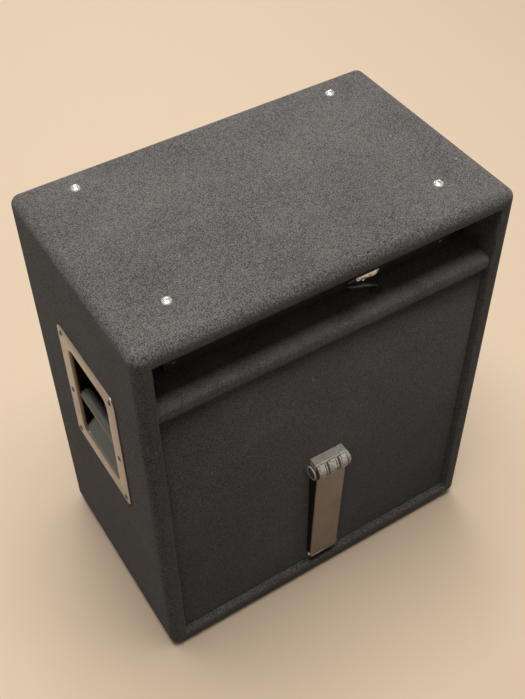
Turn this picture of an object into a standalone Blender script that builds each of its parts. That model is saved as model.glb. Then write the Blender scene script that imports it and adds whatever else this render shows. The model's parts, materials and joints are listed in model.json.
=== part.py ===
"""Bass combo amplifier: a carpeted plywood cabinet with a 15 inch woofer, a horn and two ports behind a steel
grille, an amplifier in an open bay, a bar handle in each side and a fold-out tilt leg on the back.

Metres. The origin is on the floor below the middle of the cabinet, +Z is up, -Y is the front and +Y the back.
"""

from math import acos, asin, cos, degrees, exp, pi, radians, sin, sqrt

import bmesh
import bpy
from mathutils import Matrix, Vector

# Clearances
FIT = 0.0003  # between faces that rest on each other
HOLE_GAP = 0.0004  # round a screw's shank, on the radius

# Cabinet
WIDTH = 0.560
DEPTH = 0.352
HEIGHT = 0.662
EDGE_RADIUS = 0.014
CARPET = 0.003
PLY = 0.018
LIP_DEPTH = 0.062  # how far the carpet turns in behind the front and back edges
BAY_HEIGHT = 0.082  # from the shelf's carpet to the ceiling's
FOOT_HEIGHT = 0.008
FOOT_DIAMETER = 0.038
FOOT_INSET_X = 0.055
FOOT_INSET_Y = 0.045

# Shelf, rear panel and baffle
SHELF_SETBACK = 0.004  # of the shelf's back edge from the cabinet's
SHELF_NOSE = 0.008  # radius of the shelf's front and back edges
SHELF_LIP = 0.040  # how far the carpet turns in below the shelf
PANEL_RECESS = 0.011
PANEL_PLY = 0.012
BAFFLE_RECESS = 0.026
CLEAT = 0.018

# Screws in the top
TOP_SCREW_INSET = 0.080  # from the cabinet's sides
TOP_SCREW_SETBACK = 0.0398  # of the front pair from the cabinet's front
TOP_SCREW_TO_BACK = 0.0654  # from the back pair to the cabinet's back
WASHER_DIAMETER = 0.0147
WASHER_HEIGHT = 0.0030
TOP_SCREW_DIAMETER = 0.0048
TOP_SCREW_END = 0.0015  # how far the screw stands out of its nut
NUT_WIDTH = 0.0092
NUT_HEIGHT = 0.0040

# Handles, as width along Y and height along Z
HANDLE_Y = 0.0135
HANDLE_BELOW_SHELF = 0.1258  # from the shelf's underside to the middle of the plate
HANDLE_PLATE = (0.170, 0.228)
HANDLE_OPENING = (0.111, 0.172)
HANDLE_CORNER = 0.012
HANDLE_SHEET = 0.0020
HANDLE_LIP = 0.004  # radius of the bend from the plate into the dish
DISH_DEPTH = 0.047
DISH_TAPER = 0.0030  # of the dish's ends, which are nearly straight
DISH_SLOPE = 0.0360  # of its top and bottom, which slope in at half a right angle
DISH_FLOOR_RADIUS = 0.009
BAR_DIAMETER = 0.0174
BAR_SINK = 0.0016  # of the bar behind the cabinet's side
BAR_DROP = 0.0120  # of the bar below the middle of the plate

# Tilt leg
LEG_WIDTH = 0.052
LEG_SHEET = 0.0015
LEG_REACH = 0.216  # from the hinge pin to the channel's top end
LEG_LEAN = 2.33  # degrees that the closed leg leans out
LEG_OPEN = 65.0  # degrees from closed to the stop
LEG_CORNER = 0.0044
LEG_PANEL_GAP = 0.0004  # between the closed leg's flanges and the rear panel, past the fit
PIN_DIAMETER = 0.0030
PIN_HEIGHT = 0.057
PIN_TO_FACE = 0.0048
RIVET_HEAD = 0.0080
RIVET_HEIGHT = 0.0018
BRACKET_WIDTH = 0.044
BRACKET_SHEET = 0.0020
BRACKET_HEIGHT = 0.046
PIN_TO_BRACKET = 0.0041  # from the pin's axis to the bracket's plate
EAR_RADIUS = 0.0030
FOOT_BODY_WIDTH = 0.054
FOOT_CHEEK_GAP = 0.0025
FOOT_CHEEK = 0.0025
FOOT_GROOVE = 0.0022
FOOT_GROOVE_DEPTH = 0.0020
FOOT_NOSE_RADIUS = 0.0160
FOOT_RISE = 0.0327  # from the channel's end to the rubber foot's flat top
FOOT_PROUD = 0.0073  # how far the round nose stands out from the channel's face
FOOT_PLUG = 0.014
CHEEK_RADIUS = 0.0155
CHEEK_DROP = 0.0070  # of the cheeks' centre below the nose's

# Amplifier
CHASSIS_BEYOND_SCREWS = 0.020
CHASSIS_SHEET = 0.0015
CHASSIS_TO_SHELF = 0.0072
CHASSIS_TO_BACK = 0.052  # from the chassis to the cabinet's back edge
CHASSIS_FLANGE = 0.036
CHASSIS_END_FLANGE = 0.012
CHASSIS_WINDOW = 0.030  # height of the opening behind the controls
FACE_RECESS = 0.020
FACE_SHEET = 0.0020
FACE_GAP = 0.0012
KNOB_NAMES = (
    "gain_knob",
    "bass_knob",
    "mid_level_knob",
    "mid_frequency_knob",
    "treble_knob",
    "blend_knob",
    "master_knob",
)
KNOB_RADIUS = 0.0095
KNOB_POINTER = 0.0013
KNOB_HEIGHT = 0.0154
KNOB_SKIRT = 0.0022
KNOB_STANDOFF = 0.0006
SHAFT_RADIUS = 0.0028
SHAFT_DEPTH = 0.0040
BUSHING_RADIUS = 0.0036
BUSHING_RISE = 0.0032
POT_RADIUS = 0.0080
POT_NUT = 0.0057
POT_NUT_DROP = 0.0008  # of the nut below the bushing's end
POT_DEPTH = 0.0095
INPUT_INSET = 0.0554  # from the cabinet's inner side
PAD_TO_INPUT = 0.027
KNOB_TO_PAD = 0.025
MUTE_TO_KNOB = 0.028
MUTE_TO_LAMP = 0.048
LAMP_TO_ROCKER = 0.028
ROCKER_INSET = 0.0654  # from the cabinet's inner side
BUTTON = 0.0080
BUTTON_BODY = 0.0122
BUTTON_TRAVEL = 0.0025
BUTTON_PROUD = 0.0055
ROCKER_HEIGHT = 0.016
ROCKER_WIDTH = 0.0100
ROCKER_RISE = 0.0050
ROCKER_SINK = 0.0015  # of its axle behind the panel's face
ROCKER_TILT = 9.0
ROCKER_GAP = 0.0011  # in which its ends swing
SWITCH_WALL = 0.0014
SWITCH_DEPTH = 0.016
SWITCH_WELL = 0.0055
SWITCH_BEZEL = 0.0018
LAMP_RADIUS = 0.0030
LAMP_RISE = 0.0024
JACK_BORE = 0.00355
JACK_BUSHING = 0.0049
JACK_NUT = 0.0072
JACK_BODY = 0.0080
JACK_DEPTH = 0.022
JACK_END = 0.002
JACK_NUT_HEIGHT = 0.0026
JACK_RISE = 0.0038

# Amplifier's inside
BOARD_SHEET = 0.0016
BOARD_WIDTH = 0.150
BOARD_DEPTH = 0.095
STANDOFF_INSET = 0.008
STANDOFF_RADIUS = 0.003
BOARD_RISE = 0.0070
BOARD_TO_TRANSFORMER = 0.002
CONTROL_BOARD_HEIGHT = 0.046
TRANSFORMER_INSET = 0.068  # from the chassis's end to its axis
TRANSFORMER_TO_BACK = 0.106  # from its axis to the chassis's back
TRANSFORMER_RADIUS = 0.055
TRANSFORMER_BORE = 0.020
TRANSFORMER_HEIGHT = 0.050
TRANSFORMER_EDGE = 0.010
TRANSFORMER_WASHER = 0.0018
TRANSFORMER_BOLT = 0.006
HEATSINK_WIDTH = 0.140
HEATSINK_DEPTH = 0.058
HEATSINK_HEIGHT = 0.042
HEATSINK_BASE = 0.006
HEATSINK_FINS = 9
FIN = 0.0022
TRANSISTORS = 4
TRANSISTOR_WIDTH = 0.0155
TRANSISTOR_HEIGHT = 0.0210
TRANSISTOR_DEPTH = 0.005
TRANSISTOR_TAB = 0.002
CAPACITOR_RADIUS = 0.0175
CAPACITOR_HEIGHT = 0.045
CAPACITOR_EDGE = 0.0015
CAPACITOR_X = 0.045
INLET_INSET = 0.048  # from the chassis's end
INLET_FLANGE = (0.050, 0.028)
INLET_BODY = (0.0275, 0.0205)
INLET_MOUTH = (0.0245, 0.0165)
INLET_DEPTH = 0.0160
INLET_LIP = 0.0025
INLET_BACK = 0.009
INLET_PIN = (0.002, 0.004)
INLET_PIN_PITCH = 0.007

# Speaker jack, plug and lead
JACK_TO_HEATSINK = 0.036
JACK_DROP = 0.0104  # of the speaker jack below the controls' height
PLUG_SHAFT = 0.003175
PLUG_TIP_DEPTH = 0.0225
PLUG_STANDOFF = 0.0042
PLUG_HEAD_RADIUS = 0.0072
PLUG_HEAD_DEPTH = 0.0125
PLUG_BARREL_RADIUS = 0.0056
PLUG_BARREL_REACH = 0.031
LEAD_DIAMETER = 0.0044
LEAD_STEP = 2.0  # diameters between the lead's points
GROMMET_FROM_JACK = 0.002
GROMMET_TO_PANEL = 0.0097
GROMMET_RADIUS = 0.0070
GROMMET_FLANGE = 0.0100
GROMMET_RISE = 0.0016

# Woofer, with depths counted back from the baffle's front
WOOFER_TO_FLOOR = 0.0099
WOOFER_TO_HORN = 0.0045
WOOFER_LAND = 0.0175  # width of the rim that lies on the baffle
WOOFER_FLANGE = 0.0055
SURROUND_WIDTH = 0.026
SURROUND_SHEET = 0.0009
SURROUND_LAND = 0.58  # share of its width that rolls, the rest is glued down
SURROUND_LEDGE = 0.002  # of the basket under its glued edge
SURROUND_ROLL = 0.215  # the roll's radius as a share of the width
CONE_DEPTH = 0.072
CONE_TRAVEL = 0.004
CONE_PAPER = 0.002
BASKET_DEPTH = 0.107
BASKET_SEAT = 0.094  # outer radius of the basket's flat back
BASKET_NECK = 0.046
BASKET_SHEET = 0.003
BASKET_STEP = 0.008  # from the sloping wall's end to the flat back
BASKET_GAP = 0.004  # between the basket's wall and the baffle's hole
BASKET_SHOULDER = 0.56  # share of the depth where the wall turns inward
BASKET_SPOKES = 6
WINDOW_SHARE = 0.72
TERMINAL_SIZE = (0.018, 0.014, 0.022)
TERMINAL_DEPTH = 0.071
MOTOR_PLATE = 0.008
MOTOR_PLATE_RADIUS = 0.075
MAGNET_RADIUS = 0.090
MAGNET_THICKNESS = 0.024
MAGNET_BORE = 0.050
POLE_RADIUS = 0.0360
FORMER_RADIUS = 0.0369
FORMER_WALL = 0.0008
FORMER_REACH = 0.011  # into the motor's gap
GAP_RADIUS = 0.0386
CAP_SHEET = 0.0008
CAP_RISE = 0.014
SPIDER_RADIUS = 0.089
SPIDER_SHEET = 0.0008
SPIDER_WAVES = 3
SPIDER_RISE = 0.0205  # of its inner edge above the basket's back
WOOFER_FACETS = 32

# Horn, ports and grille
HORN_BELOW_SHELF = 0.0128
HORN_HEIGHT = 0.092
HORN_LAND = 0.012  # from the flange's edge to the mouth
HORN_CORNER = 0.008
HORN_RISE = 0.0043
HORN_DEPTH = 0.064
HORN_THROAT = 0.0125
HORN_WALL = 0.0030
HORN_FLARE = 2.2  # how sharply it opens towards the mouth
DRIVER_RADIUS = 0.045
DRIVER_DEPTH = 0.050
DRIVER_NECK = 0.024
PORT_INSET = 0.0704  # from the cabinet's inner side to the port's axis
PORT_TO_HORN = 0.025
PORT_BORE = 0.035
PORT_WALL = 0.003
PORT_RISE = 0.0033
PORT_LENGTH = 0.117
PORT_FLANGE = 0.050
GRILLE_SHEET = 0.0015
GRILLE_RECESS = 0.004
GRILLE_GAP = 0.0015
GRILLE_CORNER = 0.004

SIDES = (("left", -1), ("right", 1))
ENDS = (("front", -1), ("back", 1))

# Worked out from the sizes above
SHELL = CARPET + FIT + PLY + FIT + CARPET
UNDER_CARPET = CARPET + FIT
INNER_X = WIDTH / 2 - SHELL
FRONT_Y = -DEPTH / 2
REAR_Y = DEPTH / 2
BASE_Z = FOOT_HEIGHT
TOP_Z = BASE_Z + HEIGHT
FLOOR_Z = BASE_Z + SHELL
CEILING_Z = TOP_Z - SHELL
SHELF_TOP = CEILING_Z - BAY_HEIGHT
SHELF_BOTTOM = SHELF_TOP - SHELL
BAFFLE_FRONT = FRONT_Y + BAFFLE_RECESS
BAFFLE_BACK = BAFFLE_FRONT + PLY
PANEL_FACE = REAR_Y - PANEL_RECESS
PANEL_BACK = PANEL_FACE - CARPET - FIT
PANEL_FRONT = PANEL_BACK - PANEL_PLY
GRILLE_FACE = FRONT_Y + GRILLE_RECESS

HANDLE_Z = SHELF_BOTTOM - HANDLE_BELOW_SHELF

TOP_SCREW_X = WIDTH / 2 - TOP_SCREW_INSET
TOP_SCREW_YS = (FRONT_Y + TOP_SCREW_SETBACK, REAR_Y - TOP_SCREW_TO_BACK)

FACE_FRONT = FRONT_Y + FACE_RECESS
FACE_BACK = FACE_FRONT + FACE_SHEET
CHASSIS_HALF = TOP_SCREW_X + CHASSIS_BEYOND_SCREWS
CHASSIS_FRONT_Y = FACE_BACK + FIT
CHASSIS_BACK_Y = REAR_Y - CHASSIS_TO_BACK
CHASSIS_BOTTOM = SHELF_TOP + CHASSIS_TO_SHELF
CHASSIS_TOP = CEILING_Z - FIT
CONTROL_Z = (SHELF_TOP + CEILING_Z) / 2

INPUT_X = -INNER_X + INPUT_INSET
PAD_X = INPUT_X + PAD_TO_INPUT
ROCKER_X = INNER_X - ROCKER_INSET
LAMP_X = ROCKER_X - LAMP_TO_ROCKER
MUTE_X = LAMP_X - MUTE_TO_LAMP
FIRST_KNOB_X = PAD_X + KNOB_TO_PAD
KNOB_PITCH = (MUTE_X - MUTE_TO_KNOB - FIRST_KNOB_X) / (len(KNOB_NAMES) - 1)
KNOB_XS = [FIRST_KNOB_X + i * KNOB_PITCH for i in range(len(KNOB_NAMES))]

TRANSFORMER_X = CHASSIS_HALF - TRANSFORMER_INSET
TRANSFORMER_Y = CHASSIS_BACK_Y - TRANSFORMER_TO_BACK
BOARD_CENTRE_X = TRANSFORMER_X - TRANSFORMER_RADIUS - BOARD_TO_TRANSFORMER - BOARD_WIDTH / 2
INLET_X = CHASSIS_HALF - INLET_INSET
SPEAKER_JACK_X = BOARD_CENTRE_X - HEATSINK_WIDTH / 2 - JACK_TO_HEATSINK
SPEAKER_JACK_Z = CONTROL_Z - JACK_DROP
GROMMET_X = SPEAKER_JACK_X - GROMMET_FROM_JACK
GROMMET_Y = PANEL_FRONT - GROMMET_TO_PANEL

HORN_Z = SHELF_BOTTOM - HORN_BELOW_SHELF - HORN_HEIGHT / 2
PORT_X = INNER_X - PORT_INSET
HORN_WIDTH = 2 * (PORT_X - PORT_FLANGE - PORT_TO_HORN)
HORN_MOUTH = (HORN_WIDTH - 2 * HORN_LAND, HORN_HEIGHT - 2 * HORN_LAND)
WOOFER_RIM = (HORN_Z - HORN_HEIGHT / 2 - WOOFER_TO_HORN - FLOOR_Z - WOOFER_TO_FLOOR) / 2
WOOFER_Z = FLOOR_Z + WOOFER_TO_FLOOR + WOOFER_RIM
WOOFER_HOLE = WOOFER_RIM - WOOFER_LAND
CONE_RADIUS = WOOFER_HOLE - SURROUND_WIDTH
TERMINAL_TOP = CONE_RADIUS - CONE_TRAVEL

PIN_Y = PANEL_FACE + FIT + BRACKET_SHEET + PIN_TO_BRACKET
PIN_TO_WEB = PIN_TO_FACE - LEG_SHEET
LEG_HEEL = (PIN_TO_BRACKET - FIT + PIN_TO_WEB * cos(radians(LEG_OPEN))) / sin(radians(LEG_OPEN))

BUSHING_END = FACE_FRONT - BUSHING_RISE
SHAFT_END = FACE_BACK + SHAFT_DEPTH
STEM_END = FACE_BACK + SHAFT_DEPTH

PLUG_Y = CHASSIS_BACK_Y + FIT + PLUG_STANDOFF + PLUG_HEAD_DEPTH / 2


def material(name, colour, roughness, metallic=0.0):
    """A Principled finish."""
    made = bpy.data.materials.new(name)
    made.use_nodes = True
    shader = made.node_tree.nodes["Principled BSDF"]
    shader.inputs["Base Color"].default_value = (*colour, 1.0)
    shader.inputs["Roughness"].default_value = roughness
    shader.inputs["Metallic"].default_value = metallic
    made.diffuse_color = (*colour, 1.0)
    return made


def empty(name, place=(0, 0, 0), parent=None, lean=0.0):
    """An empty that carries a body; a lean turns it about X."""
    made = bpy.data.objects.new(name, None)
    made.location = place
    made.rotation_euler = (lean, 0, 0)
    made.parent = parent
    bpy.context.scene.collection.objects.link(made)
    return made


def finish(name, bm, coat, parent, origin=(0, 0, 0), smooth=None):
    """Turns mesh work into a named object whose origin is at the point given in its parent's space."""
    bmesh.ops.recalc_face_normals(bm, faces=bm.faces)
    bmesh.ops.translate(bm, verts=bm.verts, vec=-Vector(origin))
    mesh = bpy.data.meshes.new(name)
    bm.to_mesh(mesh)
    bm.free()
    if smooth:
        mesh.shade_smooth()
        mesh.set_sharp_from_angle(angle=radians(smooth))
    made = bpy.data.objects.new(name, mesh)
    made.location = origin
    made.parent = parent
    mesh.materials.append(coat)
    bpy.context.scene.collection.objects.link(made)
    return made


def combine(target, tool, operation="DIFFERENCE"):
    """Cuts, joins or crosses the target with a tool object, which stays behind as a guide."""
    step = target.modifiers.new(tool.name, "BOOLEAN")
    step.operation = operation
    step.object = tool
    step.solver = "EXACT"
    tool.hide_render = True
    tool.display_type = "WIRE"
    return target


def tool(name, bm):
    """A guide shape for combine."""
    return finish(name, bm, STEEL, None)


def add_box(bm, low, high, edge=0.0, segments=2):
    """A box between two corners, with rounded edges if asked."""
    size = [b - a for a, b in zip(low, high)]
    middle = [(a + b) / 2 for a, b in zip(low, high)]
    place = Matrix.Translation(middle) @ Matrix.Diagonal((*size, 1))
    made = bmesh.ops.create_cube(bm, size=1.0, matrix=place)
    if edge:
        edges = list({e for v in made["verts"] for e in v.link_edges})
        bmesh.ops.bevel(bm, geom=edges, offset=edge, segments=segments, profile=0.5, affect="EDGES")


def add_loft(bm, rings, closed=False):
    """Skins loops of equal counts of points: capped at both ends, or closed into a ring."""
    loops = [[bm.verts.new(p) for p in ring] for ring in rings]
    pairs = list(zip(loops, loops[1:]))
    if closed:
        pairs.append((loops[-1], loops[0]))
    for a, b in pairs:
        for i in range(len(a)):
            j = (i + 1) % len(a)
            bm.faces.new((a[i], a[j], b[j], b[i]))
    if not closed:
        bm.faces.new(loops[0])
        bm.faces.new(loops[-1])


def across(axis, u, v, along):
    """A point from two measures across an axis and one along it."""
    return {"X": (along, u, v), "Y": (u, along, v), "Z": (u, v, along)}[axis]


def add_turned(bm, profile, centre, axis, segments, closed=False):
    """Turns (radius, height) points about an axis through the centre; a radius of 0 makes a point."""
    middle = Vector(centre)
    loops = []
    for radius, height in profile:
        if radius == 0:
            loops.append([bm.verts.new(middle + Vector(across(axis, 0, 0, height)))])
            continue
        angles = [2 * pi * (i + 0.5) / segments for i in range(segments)]
        ring = [across(axis, radius * cos(a), radius * sin(a), height) for a in angles]
        loops.append([bm.verts.new(middle + Vector(p)) for p in ring])
    pairs = list(zip(loops, loops[1:]))
    if closed:
        pairs.append((loops[-1], loops[0]))
    for a, b in pairs:
        for i in range(segments):
            j = (i + 1) % segments
            corners = list(dict.fromkeys((a[i % len(a)], a[j % len(a)], b[j % len(b)], b[i % len(b)])))
            if len(corners) > 2:
                bm.faces.new(corners)
    if not closed:
        for end in (loops[0], loops[-1]):
            if len(end) > 1:
                bm.faces.new(end)


def add_prism(bm, outline, axis, low, high):
    """Extrudes an outline of (u, v) points along an axis."""
    add_loft(bm, [[across(axis, u, v, along) for u, v in outline] for along in (low, high)])


def rounded(width, height, radius, steps=3, centre=(0, 0)):
    """The points of a rectangle with round corners."""
    points = []
    for corner in range(4):
        sx, sy = (1, 1, -1, -1)[corner], (1, -1, -1, 1)[corner]
        cx, cy = sx * (width / 2 - radius), sy * (height / 2 - radius)
        start = pi / 2 - corner * pi / 2
        for i in range(steps + 1):
            a = start - i * pi / 2 / steps
            points.append((centre[0] + cx + radius * cos(a), centre[1] + cy + radius * sin(a)))
    return points


def rectangle(width, height, centre=(0, 0)):
    """The corners of a rectangle."""
    w, h = width / 2, height / 2
    return [(centre[0] + u, centre[1] + v) for u, v in ((-w, -h), (w, -h), (w, h), (-w, h))]


def strip(line, thickness):
    """A closed outline of a sheet that follows a line of points, with the line in its middle."""
    left, right = [], []
    for i, point in enumerate(line):
        before, after = line[max(i - 1, 0)], line[min(i + 1, len(line) - 1)]
        run = Vector((after[0] - before[0], after[1] - before[1])).normalized()
        side = Vector((-run.y, run.x)) * thickness / 2
        left.append((point[0] + side.x, point[1] + side.y))
        right.append((point[0] - side.x, point[1] - side.y))
    return left + right[::-1]


def arc(centre, radius, start, end, steps):
    """Points of an arc, with its angles in degrees."""
    angles = [radians(start + (end - start) * i / steps) for i in range(steps + 1)]
    return [(centre[0] + radius * cos(a), centre[1] + radius * sin(a)) for a in angles]


def add_drill(bm, place, axis, diameter, low, high, segments=8):
    """A drill's bore along an axis, between two heights."""
    add_turned(bm, [(diameter / 2, low), (diameter / 2, high)], place, axis, segments)


def blank_box(inset):
    """Mesh work of the cabinet's rounded outside, set in from the carpet's face."""
    bm = bmesh.new()
    low = (-WIDTH / 2 + inset, FRONT_Y + inset, BASE_Z + inset)
    high = (WIDTH / 2 - inset, REAR_Y - inset, TOP_Z - inset)
    add_box(bm, low, high, edge=EDGE_RADIUS - inset, segments=3)
    return bm


def tunnel_box(name, grow, front, back):
    """A guide box with the cabinet's inner section, grown all round."""
    bm = bmesh.new()
    low = (-INNER_X - grow, front, FLOOR_Z - grow)
    high = (INNER_X + grow, back, CEILING_Z + grow)
    add_box(bm, low, high)
    return tool(name, bm)


def handle_cutouts():
    """A guide that opens the carpet and the side boards for the dishes."""
    bm = bmesh.new()
    width = HANDLE_OPENING[0] + 2 * (HANDLE_LIP + FIT)
    height = HANDLE_OPENING[1] + 2 * (HANDLE_LIP + FIT)
    outline = rounded(width, height, HANDLE_CORNER + HANDLE_LIP, centre=(HANDLE_Y, HANDLE_Z))
    for side in (-1, 1):
        add_prism(bm, outline, "X", side * (INNER_X - PLY), side * (WIDTH / 2 + PLY))
    return tool("handle_cutouts", bm)


def top_screw_places():
    """The four screws in the top as (x, y)."""
    for x in (-TOP_SCREW_X, TOP_SCREW_X):
        for y in TOP_SCREW_YS:
            yield x, y


def top_screw_holes():
    """A guide with the holes for the screws that hang the amplifier."""
    bm = bmesh.new()
    for x, y in top_screw_places():
        low = CHASSIS_TOP - 2 * CHASSIS_SHEET
        add_drill(bm, (x, y, 0), "Z", TOP_SCREW_DIAMETER + 2 * HOLE_GAP, low, TOP_Z + PLY)
    return tool("top_screw_holes", bm)


def lead_hole():
    """A guide with the hole for the speaker lead's grommet."""
    bm = bmesh.new()
    radius = GROMMET_RADIUS
    add_drill(bm, (GROMMET_X, GROMMET_Y, 0), "Z", 2 * radius, SHELF_BOTTOM - PLY, SHELF_TOP + PLY, 12)
    return tool("lead_hole", bm)


def make_cabinet(cabinet):
    """The carpet wrap and the boards under it."""
    handle_opening = handle_cutouts()
    top_holes = top_screw_holes()

    ply_space = tool("ply_space", blank_box(CARPET))
    combine(ply_space, tunnel_box("ply_space_core", CARPET, FRONT_Y - PLY, REAR_Y + PLY))
    wrap = finish("carpet_wrap", blank_box(0.0), CARPET_CLOTH, cabinet, smooth=35)
    combine(wrap, tunnel_box("wrap_tunnel", 0.0, FRONT_Y - PLY, REAR_Y + PLY))
    combine(wrap, ply_space)
    middle = tunnel_box("between_lips", CARPET + FIT, FRONT_Y + LIP_DEPTH, REAR_Y - LIP_DEPTH)
    for guide in (middle, handle_opening, top_holes):
        combine(wrap, guide)

    board_x = INNER_X + UNDER_CARPET
    board_low = FLOOR_Z - UNDER_CARPET
    board_high = CEILING_Z + UNDER_CARPET
    beyond = WIDTH + HEIGHT
    cuts = {
        "side_board_left": ((-beyond, -beyond, -beyond), (-board_x, beyond, beyond)),
        "side_board_right": ((board_x, -beyond, -beyond), (beyond, beyond, beyond)),
        "top_board": ((-board_x + FIT, -beyond, board_high), (board_x - FIT, beyond, beyond)),
        "bottom_board": ((-board_x + FIT, -beyond, -beyond), (board_x - FIT, beyond, board_low)),
    }
    for name, (low, high) in cuts.items():
        board = finish(name, blank_box(UNDER_CARPET), PLYWOOD, cabinet, smooth=35)
        bm = bmesh.new()
        add_box(bm, low, high)
        combine(board, tool(name + "_slab", bm), "INTERSECT")
        if name.startswith("side"):
            combine(board, handle_opening)
        if name == "top_board":
            combine(board, top_holes)


def make_feet(cabinet):
    """Four rubber feet under the bottom."""
    radius = FOOT_DIAMETER / 2
    top = FOOT_HEIGHT - FIT
    edge = FOOT_HEIGHT / 8
    profile = [(radius - 3 * edge, 0), (radius - 2 * edge, edge), (radius, top - edge), (radius, top)]
    for side, sx in SIDES:
        for end, sy in ENDS:
            place = (sx * (WIDTH / 2 - FOOT_INSET_X), sy * (DEPTH / 2 - FOOT_INSET_Y), 0)
            bm = bmesh.new()
            add_turned(bm, profile, place, "Z", 16)
            finish("rubber_foot_%s_%s" % (end, side), bm, RUBBER, cabinet, smooth=35)


def make_shelf(cabinet):
    """The amplifier's shelf, with its carpet over both edges and its lips below."""
    front = FRONT_Y + 2 * SHELF_SETBACK
    back = REAR_Y - SHELF_SETBACK
    centre = ((front + back) / 2, (SHELF_TOP + SHELF_BOTTOM) / 2)
    length = back - front
    half = INNER_X - FIT
    outside = rounded(length, SHELL, SHELF_NOSE, centre=centre)
    space = rounded(length - 2 * CARPET, SHELL - 2 * CARPET, SHELF_NOSE - CARPET, centre=centre)
    core = rounded(
        length - 2 * UNDER_CARPET, SHELL - 2 * UNDER_CARPET, SHELF_NOSE - UNDER_CARPET, centre=centre
    )
    hole = lead_hole()

    bm = bmesh.new()
    add_prism(bm, core, "X", -half, half)
    combine(finish("amp_shelf", bm, PLYWOOD, cabinet, smooth=35), hole)

    bm = bmesh.new()
    add_prism(bm, outside, "X", -half, half)
    carpet = finish("shelf_carpet", bm, CARPET_CLOTH, cabinet, smooth=35)
    bm = bmesh.new()
    add_prism(bm, space, "X", -half - PLY, half + PLY)
    combine(carpet, tool("shelf_ply_space", bm))
    bm = bmesh.new()
    low = (-half - PLY, front + SHELF_LIP, SHELF_BOTTOM - PLY)
    high = (half + PLY, back - SHELF_LIP, centre[1])
    add_box(bm, low, high)
    combine(carpet, tool("below_shelf", bm))
    combine(carpet, hole)


def make_rear_panel(cabinet):
    """The recessed board that closes the loudspeaker's chamber, carpeted on its back and round its edges."""
    half = INNER_X - FIT
    low, high = FLOOR_Z + FIT, SHELF_BOTTOM - FIT
    centre = (0, (low + high) / 2)
    size = (2 * half, high - low)
    inner = [s - 2 * CARPET for s in size]
    ply = [s - 2 * UNDER_CARPET for s in size]

    def ring(width, height, y):
        return [(u, y, v) for u, v in rectangle(width, height, centre)]

    bm = bmesh.new()
    add_loft(bm, [ring(*ply, PANEL_FRONT), ring(*ply, PANEL_BACK)])
    finish("rear_panel", bm, PLYWOOD, cabinet)

    bm = bmesh.new()
    floor = PANEL_FACE - CARPET
    rings = [ring(*inner, floor), ring(*inner, PANEL_FRONT)]
    rings += [ring(*size, PANEL_FRONT), ring(*size, PANEL_FACE)]
    add_loft(bm, rings)
    finish("rear_panel_carpet", bm, CARPET_CLOTH, cabinet)


def make_baffle(cabinet):
    """The front board with its openings for the woofer, the horn and the ports."""
    half = INNER_X - FIT
    bm = bmesh.new()
    add_box(bm, (-half, BAFFLE_FRONT, FLOOR_Z + FIT), (half, BAFFLE_BACK, SHELF_BOTTOM - FIT))
    baffle = finish("front_baffle", bm, BLACK_PLY, cabinet, smooth=35)

    bm = bmesh.new()
    reach = (BAFFLE_FRONT - PLY, BAFFLE_BACK + PLY)
    add_drill(bm, (0, 0, WOOFER_Z), "Y", 2 * WOOFER_HOLE, *reach, 48)
    for side in (-1, 1):
        radius = PORT_BORE + PORT_WALL + HOLE_GAP
        add_drill(bm, (side * PORT_X, 0, HORN_Z), "Y", 2 * radius, *reach, 24)
    width = HORN_MOUTH[0] + 2 * (HORN_WALL + HOLE_GAP)
    height = HORN_MOUTH[1] + 2 * (HORN_WALL + HOLE_GAP)
    corner = HORN_CORNER + HORN_WALL + HOLE_GAP
    add_prism(bm, rounded(width, height, corner, centre=(0, HORN_Z)), "Y", *reach)
    combine(baffle, tool("front_openings", bm))


def make_cleats(cabinet):
    """The frame of wood strips in front of the rear panel, notched above for the speaker lead."""
    outer = INNER_X - FIT
    low, high = FLOOR_Z + FIT, SHELF_BOTTOM - FIT
    centre = (0, (low + high) / 2)
    back = PANEL_FRONT - FIT
    rings = []
    for inset, y in ((0, back - CLEAT), (0, back), (CLEAT, back), (CLEAT, back - CLEAT)):
        size = (2 * (outer - inset), high - low - 2 * inset)
        rings.append([(u, y, v) for u, v in rectangle(*size, centre)])
    bm = bmesh.new()
    add_loft(bm, rings, closed=True)
    cleats = finish("rear_cleats", bm, PLYWOOD, cabinet)
    bm = bmesh.new()
    notch = 2 * LEAD_DIAMETER
    add_box(bm, (GROMMET_X - notch, -DEPTH, high - 2 * CLEAT), (GROMMET_X + notch, DEPTH, high + CLEAT))
    combine(cleats, tool("lead_notch", bm))


def make_top_screws(cabinet):
    """The cup-washered machine screws that hang the amplifier, each with its nut below the chassis flange."""
    rim = WASHER_DIAMETER / 2
    shank = TOP_SCREW_DIAMETER / 2
    under = CHASSIS_TOP - CHASSIS_SHEET - FIT - TOP_Z
    profile = [
        (shank, under - NUT_HEIGHT - TOP_SCREW_END),
        (shank, under - NUT_HEIGHT),
        (NUT_WIDTH / 2, under - NUT_HEIGHT),
        (NUT_WIDTH / 2, under),
        (shank, under),
        (shank, FIT),
        (rim, FIT),
        (rim * 0.97, WASHER_HEIGHT * 0.35),
        (rim * 0.78, WASHER_HEIGHT * 0.95),
        (rim * 0.70, WASHER_HEIGHT),
        (rim * 0.66, WASHER_HEIGHT * 0.8),
        (rim * 0.60, WASHER_HEIGHT * 0.95),
        (rim * 0.36, WASHER_HEIGHT * 1.25),
    ]
    for side, sx in SIDES:
        for end, y in zip(("front", "back"), TOP_SCREW_YS):
            bm = bmesh.new()
            add_turned(bm, profile, (sx * TOP_SCREW_X, y, TOP_Z), "Z", 12)
            finish("top_screw_%s_%s" % (end, side), bm, NICKEL, cabinet, smooth=35)


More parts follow.
